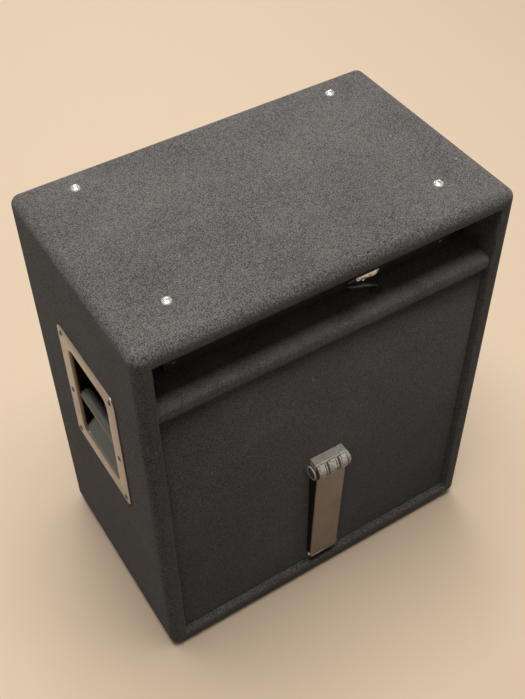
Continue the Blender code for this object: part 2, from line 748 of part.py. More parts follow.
def make_handles(cabinet):
    """A pressed steel dish in each side, with a round bar welded across it."""
    sheet = HANDLE_SHEET
    corner = HANDLE_CORNER
    place = (HANDLE_Y, HANDLE_Z)
    for name, side in SIDES:

        def ring(grow, out, radius, rise=None):
            rise = grow if rise is None else rise
            outline = rounded(HANDLE_OPENING[0] + 2 * grow, HANDLE_OPENING[1] + 2 * rise, radius, 4, place)
            return [(side * (WIDTH / 2 + out), u, v) for u, v in outline]

        def plate_ring(shrink, out):
            size = [s - 2 * shrink for s in HANDLE_PLATE]
            outline = rounded(*size, corner - shrink, 4, place)
            return [(side * (WIDTH / 2 + out), u, v) for u, v in outline]

        face = FIT + sheet
        floor = -DISH_DEPTH
        bend = DISH_FLOOR_RADIUS
        half_bend = 1 - cos(pi / 4)
        rings = [
            ring(-DISH_TAPER - bend, floor, corner / 2, -DISH_SLOPE - bend * 0.7),
            ring(-DISH_TAPER - bend * half_bend, floor + bend * half_bend, corner, -DISH_SLOPE - bend * 0.4),
            ring(-DISH_TAPER, floor + bend, corner, -DISH_SLOPE),
            ring(0, face - HANDLE_LIP, corner),
            ring(HANDLE_LIP * half_bend, face - HANDLE_LIP * half_bend, corner + HANDLE_LIP / 3),
            ring(HANDLE_LIP, face, corner + HANDLE_LIP),
            plate_ring(2 * FIT, face),
            plate_ring(0, face - 2 * FIT),
            plate_ring(0, FIT),
            ring(HANDLE_LIP, FIT, corner + HANDLE_LIP),
            ring(sheet, face - HANDLE_LIP - sheet * 0.7, corner + sheet, sheet * 0.7),
            ring(sheet - DISH_TAPER, floor + bend - sheet * 0.7, corner + sheet, sheet * 0.7 - DISH_SLOPE),
            ring(-DISH_TAPER - bend, floor - sheet, corner / 2, -DISH_SLOPE - bend * 0.7),
        ]
        bm = bmesh.new()
        add_loft(bm, rings)
        handle = finish("handle_" + name, bm, HANDLE_STEEL, cabinet, smooth=40)
        reach = HANDLE_OPENING[0] / 2 + sheet / 4
        bm = bmesh.new()
        bar = [(BAR_DIAMETER / 2, -reach), (BAR_DIAMETER / 2, reach)]
        axis_x = side * (WIDTH / 2 - BAR_SINK - BAR_DIAMETER / 2)
        add_turned(bm, bar, (axis_x, HANDLE_Y, HANDLE_Z - BAR_DROP), "Y", 20)
        combine(handle, tool("handle_bar_" + name, bm), "UNION")


def make_bracket(cabinet):
    """The hinge bracket on the rear panel, with an ear at each side for its pin."""
    half = BRACKET_WIDTH / 2
    plate_back = PANEL_FACE + FIT
    plate_front = plate_back + BRACKET_SHEET
    low = PIN_HEIGHT - EAR_RADIUS * 1.5
    high = low + BRACKET_HEIGHT
    ear_high = PIN_HEIGHT + 4 * EAR_RADIUS
    bm = bmesh.new()
    add_box(bm, (-half, plate_back, low), (half, plate_front, high))
    bracket = finish("leg_bracket", bm, LEG_STEEL, cabinet, smooth=35)
    tip = arc((PIN_Y, PIN_HEIGHT), EAR_RADIUS, -90, 60, 6)
    outline = [(plate_back + FIT, ear_high), (plate_back + FIT, low), (plate_front, low)] + tip
    outline.append((plate_front, ear_high))
    bm = bmesh.new()
    for side in (-1, 1):
        ends = sorted((side * half, side * (half - BRACKET_SHEET)))
        add_prism(bm, outline, "X", *ends)
    combine(bracket, tool("bracket_ears", bm), "UNION")

    bm = bmesh.new()
    add_drill(bm, (0, PIN_Y, PIN_HEIGHT), "X", PIN_DIAMETER + 2 * FIT, -half - FIT, half + FIT, 12)
    combine(bracket, tool("bracket_bore", bm))


def make_leg(pivot, cabinet):
    """The channel leg, its rubber foot and its pin. Leg and foot are drawn upright about the pin's axis, with
    the web's face towards +Y, and lean with their pivot."""
    half = LEG_WIDTH / 2
    gap_back = PIN_Y - PANEL_FACE - FIT
    lean = radians(LEG_LEAN)
    face = PIN_TO_FACE

    def behind(height):
        """How far back the flange's edge may reach there and still clear the rear panel."""
        return (-gap_back + LEG_PANEL_GAP - height * sin(lean)) / cos(lean)

    corner = arc((0, 0), LEG_CORNER, 180, 250, 4)
    flange = [(face, -LEG_HEEL), (face, LEG_REACH), (behind(LEG_REACH), LEG_REACH)]
    flange += [(behind(LEG_CORNER * 2), LEG_CORNER * 2)] + corner
    bm = bmesh.new()
    add_prism(bm, flange, "X", -half, half)
    leg = finish("tilt_leg", bm, LEG_STEEL, pivot, smooth=35)
    bm = bmesh.new()
    inner = half - LEG_SHEET
    low = (-inner, -LEG_WIDTH, -LEG_WIDTH)
    high = (inner, PIN_TO_WEB, LEG_REACH + LEG_WIDTH)
    add_box(bm, low, high)
    channel = tool("leg_inside", bm)
    channel.parent = pivot
    combine(leg, channel)
    bm = bmesh.new()
    add_drill(bm, (0, 0, 0), "X", PIN_DIAMETER + 2 * FIT, -half - FIT, half + FIT, 12)
    bore = tool("leg_bore", bm)
    bore.parent = pivot
    combine(leg, bore)

    head = RIVET_HEAD / 2
    shank = PIN_DIAMETER / 2
    end = half + FIT
    profile = [
        (head * 0.6, -end - RIVET_HEIGHT),
        (head, -end - RIVET_HEIGHT * 0.4),
        (head, -end),
        (shank, -end),
        (shank, end),
        (head, end),
        (head, end + RIVET_HEIGHT * 0.4),
        (head * 0.6, end + RIVET_HEIGHT),
    ]
    bm = bmesh.new()
    add_turned(bm, profile, (0, PIN_Y, PIN_HEIGHT), "X", 12)
    finish("leg_pin", bm, NICKEL, cabinet, smooth=35)

    base = LEG_REACH + FIT
    top = base + FOOT_RISE
    back = behind(base)
    nose = FOOT_NOSE_RADIUS
    nose_y = face + FOOT_PROUD - nose
    nose_z = top - nose
    nose_end = degrees(acos((face - nose_y) / nose))
    cheek_z = nose_z - CHEEK_DROP
    steps = 10

    def foot_ring(x, inset):
        """The foot's side view at x: a flat top and back, and a round nose over the leg's face."""
        nose_line = arc((nose_y, nose_z), nose - inset, 90, -nose_end, steps)
        outline = [(back + inset, base + inset), (back + inset, top - inset)] + nose_line
        outline.append((face - inset, base + inset))
        return [(x, y, z) for y, z in outline]

    def cheek_ring(x, inset):
        """An end cheek's side view at x: a disc with a flat back."""
        radius = CHEEK_RADIUS - inset
        turn = 90 + degrees(asin((nose_y - back - inset) / radius))
        outline = arc((nose_y, cheek_z), radius, turn, -turn, steps + 3)
        outline = outline[-1:] + outline[:-1]
        return [(x, y, z) for y, z in outline]

    body = FOOT_BODY_WIDTH / 2
    cheek_in = body + FOOT_CHEEK_GAP
    cheek_out = cheek_in + FOOT_CHEEK
    pad = (2 * body - 2 * FOOT_GROOVE) / 3
    groove = FOOT_GROOVE_DEPTH
    soft = FOOT_CHEEK / 3
    rings = [cheek_ring(-cheek_out, soft), cheek_ring(-cheek_out + soft, 0), cheek_ring(-cheek_in, 0)]
    rings += [cheek_ring(-cheek_in, 2 * groove), foot_ring(-body, 2 * groove)]
    for start in (-body, -pad / 2, body - pad):
        if start > -body:
            rings.append(foot_ring(start, groove))
        rings += [foot_ring(start, 0), foot_ring(start + pad, 0)]
        if start + pad < body - groove:
            rings.append(foot_ring(start + pad, groove))
    rings += [foot_ring(body, 2 * groove), cheek_ring(cheek_in, 2 * groove)]
    rings += [cheek_ring(cheek_in, 0), cheek_ring(cheek_out - soft, 0), cheek_ring(cheek_out, soft)]
    bm = bmesh.new()
    add_loft(bm, rings)
    foot = finish("leg_foot", bm, RUBBER, pivot, smooth=35)
    bm = bmesh.new()
    low = (-inner + FIT, behind(base) + LEG_SHEET, base - FOOT_PLUG)
    high = (inner - FIT, PIN_TO_WEB - FIT, base + FOOT_GROOVE_DEPTH * 2)
    add_box(bm, low, high)
    plug = tool("foot_plug", bm)
    plug.parent = pivot
    combine(foot, plug, "UNION")


def make_chassis(cabinet):
    """The folded steel chassis, open above between its flanges and in front behind the controls."""
    half = CHASSIS_HALF
    sheet = CHASSIS_SHEET
    bm = bmesh.new()
    add_box(bm, (-half, CHASSIS_FRONT_Y, CHASSIS_BOTTOM), (half, CHASSIS_BACK_Y, CHASSIS_TOP))
    chassis = finish("amp_chassis", bm, CHASSIS_STEEL, cabinet)
    bm = bmesh.new()
    low = (-half + sheet, CHASSIS_FRONT_Y + sheet, CHASSIS_BOTTOM + sheet)
    high = (half - sheet, CHASSIS_BACK_Y - sheet, CHASSIS_TOP - sheet)
    add_box(bm, low, high)
    combine(chassis, tool("chassis_inside", bm))
    bm = bmesh.new()
    reach = half - CHASSIS_FLANGE
    low = (-reach, CHASSIS_FRONT_Y + CHASSIS_END_FLANGE, CHASSIS_TOP - 2 * sheet)
    high = (reach, CHASSIS_BACK_Y - CHASSIS_END_FLANGE, CHASSIS_TOP + sheet)
    add_box(bm, low, high)
    reach = half - CHASSIS_END_FLANGE
    rise = CHASSIS_WINDOW / 2
    low = (-reach, CHASSIS_FRONT_Y - sheet, CONTROL_Z - rise)
    high = (reach, CHASSIS_FRONT_Y + 2 * sheet, CONTROL_Z + rise)
    add_box(bm, low, high)
    back_wall = (CHASSIS_BACK_Y - 2 * sheet, CHASSIS_BACK_Y + sheet)
    mouth = rectangle(INLET_BODY[0] + 2 * FIT, INLET_BODY[1] + 2 * FIT, (INLET_X, CONTROL_Z))
    add_prism(bm, mouth, "Y", *back_wall)
    radius = JACK_BUSHING + HOLE_GAP
    add_drill(bm, (SPEAKER_JACK_X, 0, SPEAKER_JACK_Z), "Y", 2 * radius, *back_wall, 12)
    combine(chassis, tool("chassis_openings", bm))
    combine(chassis, bpy.data.objects["top_screw_holes"])


def make_control_panel(cabinet):
    """The front plate with its holes for the controls."""
    half = INNER_X - FACE_GAP
    bm = bmesh.new()
    low = (-half, FACE_FRONT, SHELF_TOP + FACE_GAP)
    high = (half, FACE_BACK, CEILING_Z - FACE_GAP)
    add_box(bm, low, high)
    panel = finish("control_panel", bm, PANEL_PAINT, cabinet)
    bm = bmesh.new()
    wall = (FACE_FRONT - FACE_SHEET, FACE_BACK + FACE_SHEET)
    for x in KNOB_XS:
        add_drill(bm, (x, 0, CONTROL_Z), "Y", 2 * (BUSHING_RADIUS + HOLE_GAP), *wall, 12)
    add_drill(bm, (INPUT_X, 0, CONTROL_Z), "Y", 2 * (JACK_BUSHING + HOLE_GAP), *wall, 12)
    add_drill(bm, (LAMP_X, 0, CONTROL_Z), "Y", 2 * (LAMP_RADIUS + HOLE_GAP), *wall, 12)
    side = BUTTON + 4 * FIT
    for x in (PAD_X, MUTE_X):
        add_prism(bm, rectangle(side, side, (x, CONTROL_Z)), "Y", *wall)
    add_prism(bm, rectangle(*rocker_housing(FIT), (ROCKER_X, CONTROL_Z)), "Y", *wall)
    combine(panel, tool("panel_holes", bm))


def add_jack(bm, x, z, panel_front, panel_back, out):
    """A quarter-inch jack: body behind the panel, bushing through it, nut in front; out is its direction."""
    profile = [
        (0, panel_back - out * (JACK_DEPTH + JACK_END)),
        (JACK_BODY, panel_back - out * (JACK_DEPTH + JACK_END)),
        (JACK_BODY, panel_back - out * FIT),
        (JACK_BUSHING, panel_back - out * FIT),
        (JACK_BUSHING, panel_front + out * FIT),
        (JACK_NUT, panel_front + out * FIT),
        (JACK_NUT, panel_front + out * JACK_NUT_HEIGHT),
        (JACK_BUSHING, panel_front + out * JACK_NUT_HEIGHT),
        (JACK_BUSHING, panel_front + out * JACK_RISE),
        (JACK_BORE, panel_front + out * JACK_RISE),
        (JACK_BORE, panel_back - out * JACK_DEPTH),
        (0, panel_back - out * JACK_DEPTH),
    ]
    add_turned(bm, profile, (x, 0, z), "Y", 12)


def make_control_board(cabinet):
    """The board behind the controls, with its potentiometers and the bodies of the two push buttons."""
    front = FACE_BACK + FIT
    board = front + POT_DEPTH
    rise = CONTROL_BOARD_HEIGHT / 2
    bm = bmesh.new()
    low = (PAD_X - BUTTON, board, CONTROL_Z - rise)
    high = (MUTE_X + BUTTON, board + BOARD_SHEET, CONTROL_Z + rise)
    add_box(bm, low, high)
    made = finish("control_board", bm, BOARD_GREEN, cabinet, smooth=35)

    bm = bmesh.new()
    for x in KNOB_XS:
        profile = [
            (0, SHAFT_END + FIT),
            (SHAFT_RADIUS + FIT, SHAFT_END + FIT),
            (SHAFT_RADIUS + FIT, BUSHING_END),
            (BUSHING_RADIUS, BUSHING_END),
            (BUSHING_RADIUS, BUSHING_END + POT_NUT_DROP),
            (POT_NUT, BUSHING_END + POT_NUT_DROP),
            (POT_NUT, FACE_FRONT - FIT),
            (BUSHING_RADIUS, FACE_FRONT - FIT),
            (BUSHING_RADIUS, front),
            (POT_RADIUS, front),
            (POT_RADIUS, board + BOARD_SHEET / 2),
            (0, board + BOARD_SHEET / 2),
        ]
        add_turned(bm, profile, (x, 0, CONTROL_Z), "Y", 8)
    well = BUTTON + 4 * FIT
    outer = BUTTON_BODY
    bottom = STEM_END + BUTTON_TRAVEL + 2 * FIT
    for x in (PAD_X, MUTE_X):
        sizes = ((well, bottom), (well, front), (outer, front), (outer, board + BOARD_SHEET / 2))
        add_loft(bm, [[(u, y, v) for u, v in rectangle(size, size, (x, CONTROL_Z))] for size, y in sizes])
    combine(made, tool("pots_and_switches", bm), "UNION")


def make_knobs_and_jacks(cabinet):
    """The knobs on their shafts, and the two jacks."""
    hollow = BUSHING_END - 2 * FIT
    top = FACE_FRONT - KNOB_STANDOFF - KNOB_HEIGHT
    rim = FACE_FRONT - KNOB_STANDOFF
    for name, x in zip(KNOB_NAMES, KNOB_XS):
        profile = [
            (SHAFT_RADIUS, SHAFT_END),
            (SHAFT_RADIUS, hollow),
            (KNOB_RADIUS * 0.72, hollow),
            (KNOB_RADIUS * 0.72, rim),
            (KNOB_RADIUS, rim),
            (KNOB_RADIUS * 0.98, rim - KNOB_SKIRT),
            (KNOB_RADIUS * 0.86, top + KNOB_SKIRT / 2),
            (KNOB_RADIUS * 0.78, top),
        ]
        bm = bmesh.new()
        add_turned(bm, profile, (x, 0, CONTROL_Z), "Y", 14)
        for vert in bm.verts:
            reach = sqrt((vert.co.x - x) ** 2 + (vert.co.z - CONTROL_Z) ** 2)
            straight_up = abs(vert.co.x - x) < KNOB_RADIUS * 0.3 and vert.co.z > CONTROL_Z
            if straight_up and reach > KNOB_RADIUS * 0.9:
                vert.co.z += KNOB_POINTER
        body = empty(name + "_axis", (x, FACE_FRONT, CONTROL_Z), cabinet)
        bmesh.ops.translate(bm, verts=bm.verts, vec=-body.location)
        finish(name, bm, KNOB_PLASTIC, body, smooth=40)

    bm = bmesh.new()
    add_jack(bm, INPUT_X, CONTROL_Z, FACE_FRONT, FACE_BACK, -1)
    finish("input_jack", bm, ZINC, cabinet, smooth=35)
    bm = bmesh.new()
    inside = CHASSIS_BACK_Y - CHASSIS_SHEET
    add_jack(bm, SPEAKER_JACK_X, SPEAKER_JACK_Z, CHASSIS_BACK_Y, inside, 1)
    finish("speaker_jack", bm, ZINC, cabinet, smooth=35)


def rocker_housing(grow=0.0):
    """Width and height of the power switch's housing where it passes the panel."""
    return ROCKER_WIDTH + 2 * (SWITCH_WALL + grow), ROCKER_HEIGHT + 2 * (SWITCH_WALL + ROCKER_GAP + grow)


def make_switches(cabinet):
    """Two push buttons, the power rocker in its housing, and the lamp."""
    for name, x in (("pad_button", PAD_X), ("mute_button", MUTE_X)):
        bm = bmesh.new()
        low = (x - BUTTON / 2, FACE_FRONT - BUTTON_PROUD, CONTROL_Z - BUTTON / 2)
        high = (x + BUTTON / 2, STEM_END, CONTROL_Z + BUTTON / 2)
        add_box(bm, low, high, edge=BUTTON / 16, segments=1)
        finish(name, bm, KNOB_PLASTIC, cabinet, origin=(x, FACE_FRONT, CONTROL_Z))

    bodies = bmesh.new()
    housing = rocker_housing()
    well = (ROCKER_WIDTH + 2 * HOLE_GAP, ROCKER_HEIGHT + 2 * ROCKER_GAP)
    bezel = [size + 2 * SWITCH_BEZEL for size in housing]
    lip = FACE_FRONT - SWITCH_BEZEL
    sizes = (
        (well, FACE_BACK + SWITCH_WELL),
        (well, lip),
        (bezel, lip),
        (bezel, FACE_FRONT - FIT),
        (housing, FACE_FRONT - FIT),
        (housing, FACE_BACK + SWITCH_DEPTH),
    )
    add_loft(bodies, [[(u, y, v) for u, v in rectangle(*size, (ROCKER_X, CONTROL_Z))] for size, y in sizes])
    finish("power_switch_body", bodies, BLACK_PLASTIC, cabinet)

    half = ROCKER_HEIGHT / 2
    rise = ROCKER_RISE
    foot = half * 0.875
    outline = [(rise * 0.6, -foot), (-rise, -half), (-rise * 0.72, 0), (-rise, half), (rise * 0.6, foot)]
    pivot_y = FACE_FRONT + ROCKER_SINK
    bm = bmesh.new()
    add_prism(bm, outline, "X", -ROCKER_WIDTH / 2, ROCKER_WIDTH / 2)
    tilt = Matrix.Rotation(radians(ROCKER_TILT), 3, "X")
    bmesh.ops.rotate(bm, verts=bm.verts, matrix=tilt)
    axle = empty("power_rocker_axis", (ROCKER_X, pivot_y, CONTROL_Z), cabinet)
    finish("power_rocker", bm, KNOB_PLASTIC, axle)

    radius = LAMP_RADIUS
    profile = [
        (radius, FACE_BACK + 2 * LAMP_RISE),
        (radius, FACE_FRONT - FIT),
        (radius * 1.25, FACE_FRONT - FIT),
        (radius * 1.1, FACE_FRONT - LAMP_RISE / 2),
        (radius * 0.6, FACE_FRONT - LAMP_RISE),
    ]
    bm = bmesh.new()
    add_turned(bm, profile, (LAMP_X, 0, CONTROL_Z), "Y", 12)
    finish("power_lamp", bm, RED_LENS, cabinet, smooth=40)


def make_electronics(cabinet):
    """What the chassis holds: transformer, heatsink, and the main board with what is soldered to it."""
    floor = CHASSIS_BOTTOM + CHASSIS_SHEET + FIT
    outer, bore, soft = TRANSFORMER_RADIUS, TRANSFORMER_BORE, TRANSFORMER_EDGE
    top = floor + TRANSFORMER_HEIGHT
    profile = [
        (0, top - TRANSFORMER_HEIGHT / 2),
        (bore, top - TRANSFORMER_HEIGHT / 2),
        (bore, floor + soft),
        (bore + soft, floor),
        (outer - soft, floor),
        (outer, floor + soft),
        (outer, top - soft),
        (outer - soft, top),
        (bore + soft, top),
        (bore + soft, top + TRANSFORMER_WASHER),
        (TRANSFORMER_BOLT, top + TRANSFORMER_WASHER),
        (TRANSFORMER_BOLT, top + 3 * TRANSFORMER_WASHER),
    ]
    bm = bmesh.new()
    add_turned(bm, profile, (TRANSFORMER_X, TRANSFORMER_Y, 0), "Z", 24)
    finish("power_transformer", bm, TAPE, cabinet, smooth=35)

    back = CHASSIS_BACK_Y - CHASSIS_SHEET - FIT
    front = back - HEATSINK_DEPTH
    half = HEATSINK_WIDTH / 2
    root = front + HEATSINK_BASE
    pitch = (HEATSINK_WIDTH - FIN) / (HEATSINK_FINS - 1)
    outline = [(half, front), (-half, front)]
    for i in range(HEATSINK_FINS):
        x = -half + i * pitch
        outline += [(x, back), (x + FIN, back)]
        if i < HEATSINK_FINS - 1:
            outline += [(x + FIN, root), (x + pitch, root)]
    outline = [(x + BOARD_CENTRE_X, y) for x, y in outline]
    bm = bmesh.new()
    add_prism(bm, outline, "Z", floor, floor + HEATSINK_HEIGHT)
    finish("heatsink", bm, ALUMINIUM, cabinet)

    board = floor + BOARD_RISE
    left = BOARD_CENTRE_X - BOARD_WIDTH / 2
    right = BOARD_CENTRE_X + BOARD_WIDTH / 2
    seat = front - FIT
    bm = bmesh.new()
    add_box(bm, (left, seat - BOARD_DEPTH, board), (right, seat, board + BOARD_SHEET))
    made = finish("main_board", bm, BOARD_GREEN, cabinet, smooth=35)
    bm = bmesh.new()
    core = board + BOARD_SHEET / 2
    for x in (left + STANDOFF_INSET, right - STANDOFF_INSET):
        for y in (seat - BOARD_DEPTH + STANDOFF_INSET, seat - STANDOFF_INSET):
            add_turned(bm, [(STANDOFF_RADIUS, floor), (STANDOFF_RADIUS, core)], (x, y, 0), "Z", 6)
    tall = core + TRANSISTOR_HEIGHT
    tab, deep = TRANSISTOR_TAB, TRANSISTOR_DEPTH
    body = [(seat, tall), (seat - tab, tall), (seat - tab, tall - deep), (seat - deep, tall - deep - tab / 2)]
    body += [(seat - deep, core), (seat, core)]
    for i in range(TRANSISTORS):
        x = BOARD_CENTRE_X + (i - (TRANSISTORS - 1) / 2) * BOARD_WIDTH / TRANSISTORS
        add_prism(bm, body, "X", x - TRANSISTOR_WIDTH / 2, x + TRANSISTOR_WIDTH / 2)
    radius = CAPACITOR_RADIUS
    tall = core + CAPACITOR_HEIGHT
    profile = [(radius, core), (radius, tall - CAPACITOR_EDGE), (radius - CAPACITOR_EDGE, tall)]
    for sx in (-1, 1):
        add_turned(bm, profile, (BOARD_CENTRE_X + sx * CAPACITOR_X, seat - BOARD_DEPTH * 0.6, 0), "Z", 16)
    combine(made, tool("board_parts", bm), "UNION")


def make_inlet(cabinet):
    """The mains inlet in the chassis's back wall, with its three pins."""
    bm = bmesh.new()
    seat = CHASSIS_BACK_Y + FIT
    lip = seat + INLET_LIP
    floor = lip - INLET_DEPTH
    sizes = (
        (INLET_MOUTH, floor),
        (INLET_MOUTH, lip),
        (INLET_FLANGE, lip),
        (INLET_FLANGE, seat),
        (INLET_BODY, seat),
        (INLET_BODY, floor - INLET_BACK),
    )
    place = (INLET_X, CONTROL_Z)
    add_loft(bm, [[(u, y, v) for u, v in rectangle(*size, place)] for size, y in sizes])
    inlet = finish("mains_inlet", bm, BLACK_PLASTIC, cabinet)
    bm = bmesh.new()
    width, height = INLET_PIN
    for step in (-1, 0, 1):
        x = INLET_X + step * INLET_PIN_PITCH
        z = CONTROL_Z + (width if step == 0 else -width)
        low = (x - width / 2, floor - INLET_BACK / 2, z - height / 2)
        high = (x + width / 2, floor + INLET_DEPTH / 2, z + height / 2)
        add_box(bm, low, high)
    combine(inlet, tool("inlet_pins", bm), "UNION")


def smooth_line(points, spacing):
    """Points at even steps along a Catmull-Rom curve through the route's points."""
    route = [Vector(p) for p in points]
    dense = []
    for i in range(len(route) - 1):
        a, b = route[max(i - 1, 0)], route[i]
        c, d = route[i + 1], route[min(i + 2, len(route) - 1)]
        for k in range(20):
            t = k / 20
            bend = (2 * a - 5 * b + 4 * c - d) * t**2 + (3 * b - a - 3 * c + d) * t**3
            dense.append(0.5 * (2 * b + (c - a) * t + bend))
    dense.append(route[-1])
    even = [dense[0]]
    run = 0
    for p, q in zip(dense, dense[1:]):
        run += (q - p).length
        if run >= spacing:
            even.append(q)
            run = 0.0
    if (even[-1] - dense[-1]).length < spacing / 2:
        even.pop()
    return even + [dense[-1]]


def lead_route():
    """The lead's route by hand: out of the barrel, back and down to the grommet, then to the woofer."""
    wide = LEAD_DIAMETER
    plug = Vector((SPEAKER_JACK_X + PLUG_BARREL_REACH, PLUG_Y, SPEAKER_JACK_Z))
    turns = (
        (1.6, 0.05, 0.07),
        (3.2, 0.4, 0.5),
        (4.4, 1.5, 1.3),
        (4.6, 3.0, 2.0),
        (3.5, 4.1, 2.3),
        (1.5, 4.5, 2.0),
        (-0.9, 4.3, 0.9),
        (-3.1, 3.8, -0.7),
        (-5.2, 2.9, -2.4),
        (-6.8, 1.9, -4.0),
    )
    route = [plug + Vector((FIT, 0, 0))] + [plug + wide * Vector(turn) for turn in turns]
    hole = Vector((GROMMET_X, GROMMET_Y, 0))
    for height in (SHELF_TOP + 1.4 * wide, SHELF_TOP + 0.5 * wide, SHELF_TOP - 1.4 * wide):
        route.append(hole + Vector((0, 0, height)))
    for height in (SHELF_BOTTOM + 0.7 * wide, SHELF_BOTTOM - 1.1 * wide):
        route.append(hole + Vector((0, 0, height)))
    below = Vector((GROMMET_X, GROMMET_Y - 1.8 * wide, SHELF_BOTTOM - 6.4 * wide))
    terminal = Vector((0, BAFFLE_FRONT + TERMINAL_DEPTH, WOOFER_Z + TERMINAL_TOP + FIT))
    above = terminal + Vector((0, 0, 2.3 * wide))
    route.append(below)
    slack = (
        (0.06, 0.15, 0.36),
        (0.18, 0.41, 0.65),
        (0.45, 0.71, 0.80),
        (0.75, 0.90, 0.86),
        (0.95, 0.985, 0.92),
    )
    for share in slack:
        route.append(Vector([a + (b - a) * part for a, b, part in zip(below, above, share)]))
    return route + [above, terminal]


def make_speaker_lead(cabinet):
    """The right-angle plug in the speaker jack, its lead and the grommet where the lead passes the shelf."""
    x, z = SPEAKER_JACK_X, SPEAKER_JACK_Z
    front = PLUG_Y - PLUG_HEAD_DEPTH / 2
    back = PLUG_Y + PLUG_HEAD_DEPTH / 2
    head = PLUG_HEAD_RADIUS
    shaft = PLUG_SHAFT
    tip = CHASSIS_BACK_Y - PLUG_TIP_DEPTH
    profile = [
        (shaft / 2, tip),
        (shaft, tip + shaft),
        (shaft, front),
        (head * 0.89, front),
        (head, front + head * 0.11),
        (head, back - head * 0.17),
        (head * 0.83, back),
    ]
    bm = bmesh.new()
    add_turned(bm, profile, (x, 0, z), "Y", 16)
    plug = finish("speaker_plug", bm, BRASS, cabinet, smooth=40)
    barrel = PLUG_BARREL_RADIUS
    end = x + PLUG_BARREL_REACH
    profile = [
        (barrel * 0.9, x + barrel / 3),
        (barrel * 0.9, x + barrel * 2),
        (barrel, x + barrel * 2.1),
        (barrel, end - barrel / 2),
        (barrel * 0.72, end),
    ]
    bm = bmesh.new()
    add_turned(bm, profile, (0, PLUG_Y, z), "X", 12)
    combine(plug, tool("plug_barrel", bm), "UNION")

    hole = GROMMET_RADIUS - FIT
    bore = LEAD_DIAMETER / 2 + FIT + 2 * HOLE_GAP
    rim = GROMMET_FLANGE
    top = SHELF_TOP + FIT
    low = SHELF_BOTTOM + UNDER_CARPET
    rise = top + GROMMET_RISE
    profile = [(bore, low), (hole, low), (hole, top), (rim, top), (rim * 0.92, rise), (bore, rise)]
    bm = bmesh.new()
    add_turned(bm, profile, (GROMMET_X, GROMMET_Y, 0), "Z", 12, closed=True)
    finish("lead_grommet", bm, RUBBER, cabinet, smooth=40)

    curve = bpy.data.curves.new("speaker_lead", "CURVE")
    curve.dimensions = "3D"
    curve.bevel_depth = LEAD_DIAMETER / 2
    curve.bevel_resolution = 2
    curve.use_fill_caps = True
    points = smooth_line(lead_route(), LEAD_STEP * LEAD_DIAMETER)
    spline = curve.splines.new("POLY")
    spline.points.add(len(points) - 1)
    for place, point in zip(spline.points, points):
        place.co = (*point, 1.0)
    curve.materials.append(BLACK_PLASTIC)
    lead = bpy.data.objects.new("speaker_lead", curve)
    lead.parent = cabinet
    bpy.context.scene.collection.objects.link(lead)


def at_depth(profile):
    """Moves (radius, depth) points from the baffle's front to their place along Y."""
    return [(radius, BAFFLE_FRONT + depth) for radius, depth in profile]


def make_basket(cabinet):
    """The woofer's pressed basket, with its rim on the baffle, six windows and the terminal block."""
    centre = (0, 0, WOOFER_Z)
    rim, hole, back = WOOFER_RIM, WOOFER_HOLE, BASKET_DEPTH
    sheet = BASKET_SHEET
    neck, seat = BASKET_NECK, BASKET_SEAT
    land = CONE_RADIUS + SURROUND_WIDTH * SURROUND_LAND
    shoulder = back * BASKET_SHOULDER
    wall = hole - BASKET_GAP
    lip, ledge = -FIT - WOOFER_FLANGE, -FIT - SURROUND_LEDGE
    edge = hole + sheet / 3
    inner = [(land, sheet), (CONE_RADIUS - sheet, shoulder)]
    inner += [(seat - sheet * 0.7, back - BASKET_STEP - sheet), (neck, back - sheet)]
    outer = [(neck, back), (seat, back - BASKET_STEP), (CONE_RADIUS + sheet / 6, shoulder + sheet * 0.7)]
    outer.append((wall, BASKET_GAP))
    flange = [(wall, -FIT), (rim, -FIT), (rim, lip), (edge, lip), (edge, ledge), (land, ledge)]
    bm = bmesh.new()
    add_turned(bm, at_depth(inner + outer + flange), centre, "Y", WOOFER_FACETS, closed=True)
    basket = finish("woofer_basket", bm, BLACK_STEEL, cabinet, smooth=35)

    bm = bmesh.new()
    half_turn = pi / BASKET_SPOKES * WINDOW_SHARE
    near, far = seat + BASKET_GAP, rim - BASKET_GAP
    for i in range(BASKET_SPOKES):
        middle = pi / 2 + (i + 0.5) * 2 * pi / BASKET_SPOKES
        outline = []
        for radius, turn in ((near, -half_turn), (far, -half_turn), (far, half_turn), (near, half_turn)):
            a = middle + turn
            outline.append((radius * cos(a), WOOFER_Z + radius * sin(a)))
        add_prism(bm, outline, "Y", BAFFLE_BACK + BASKET_GAP, BAFFLE_FRONT + back)
    combine(basket, tool("basket_windows", bm))

    width, depth, height = TERMINAL_SIZE
    top = WOOFER_Z + TERMINAL_TOP
    middle = BAFFLE_FRONT + TERMINAL_DEPTH
    bm = bmesh.new()
    add_box(bm, (-width / 2, middle - depth / 2, top - height), (width / 2, middle + depth / 2, top))
    combine(basket, tool("terminal_block", bm), "UNION")


def make_motor(cabinet):
    """The woofer's magnet between its two plates, with the pole and the gap that the voice coil runs in."""
    plate = BASKET_DEPTH + FIT
    magnet = plate + MOTOR_PLATE
    yoke = magnet + MAGNET_THICKNESS
    profile = [
        (POLE_RADIUS, plate + FIT),
        (POLE_RADIUS, yoke),
        (MAGNET_BORE, yoke),
        (MAGNET_BORE, magnet),
        (GAP_RADIUS, magnet),
        (GAP_RADIUS, plate),
        (MOTOR_PLATE_RADIUS, plate),
        (MOTOR_PLATE_RADIUS, magnet),
        (MAGNET_RADIUS, magnet),
        (MAGNET_RADIUS, yoke),
        (MOTOR_PLATE_RADIUS, yoke),
        (MOTOR_PLATE_RADIUS, yoke + MOTOR_PLATE),
    ]
    bm = bmesh.new()
    add_turned(bm, at_depth(profile), (0, 0, WOOFER_Z), "Y", 24)
    finish("woofer_motor", bm, FERRITE, cabinet, smooth=35)


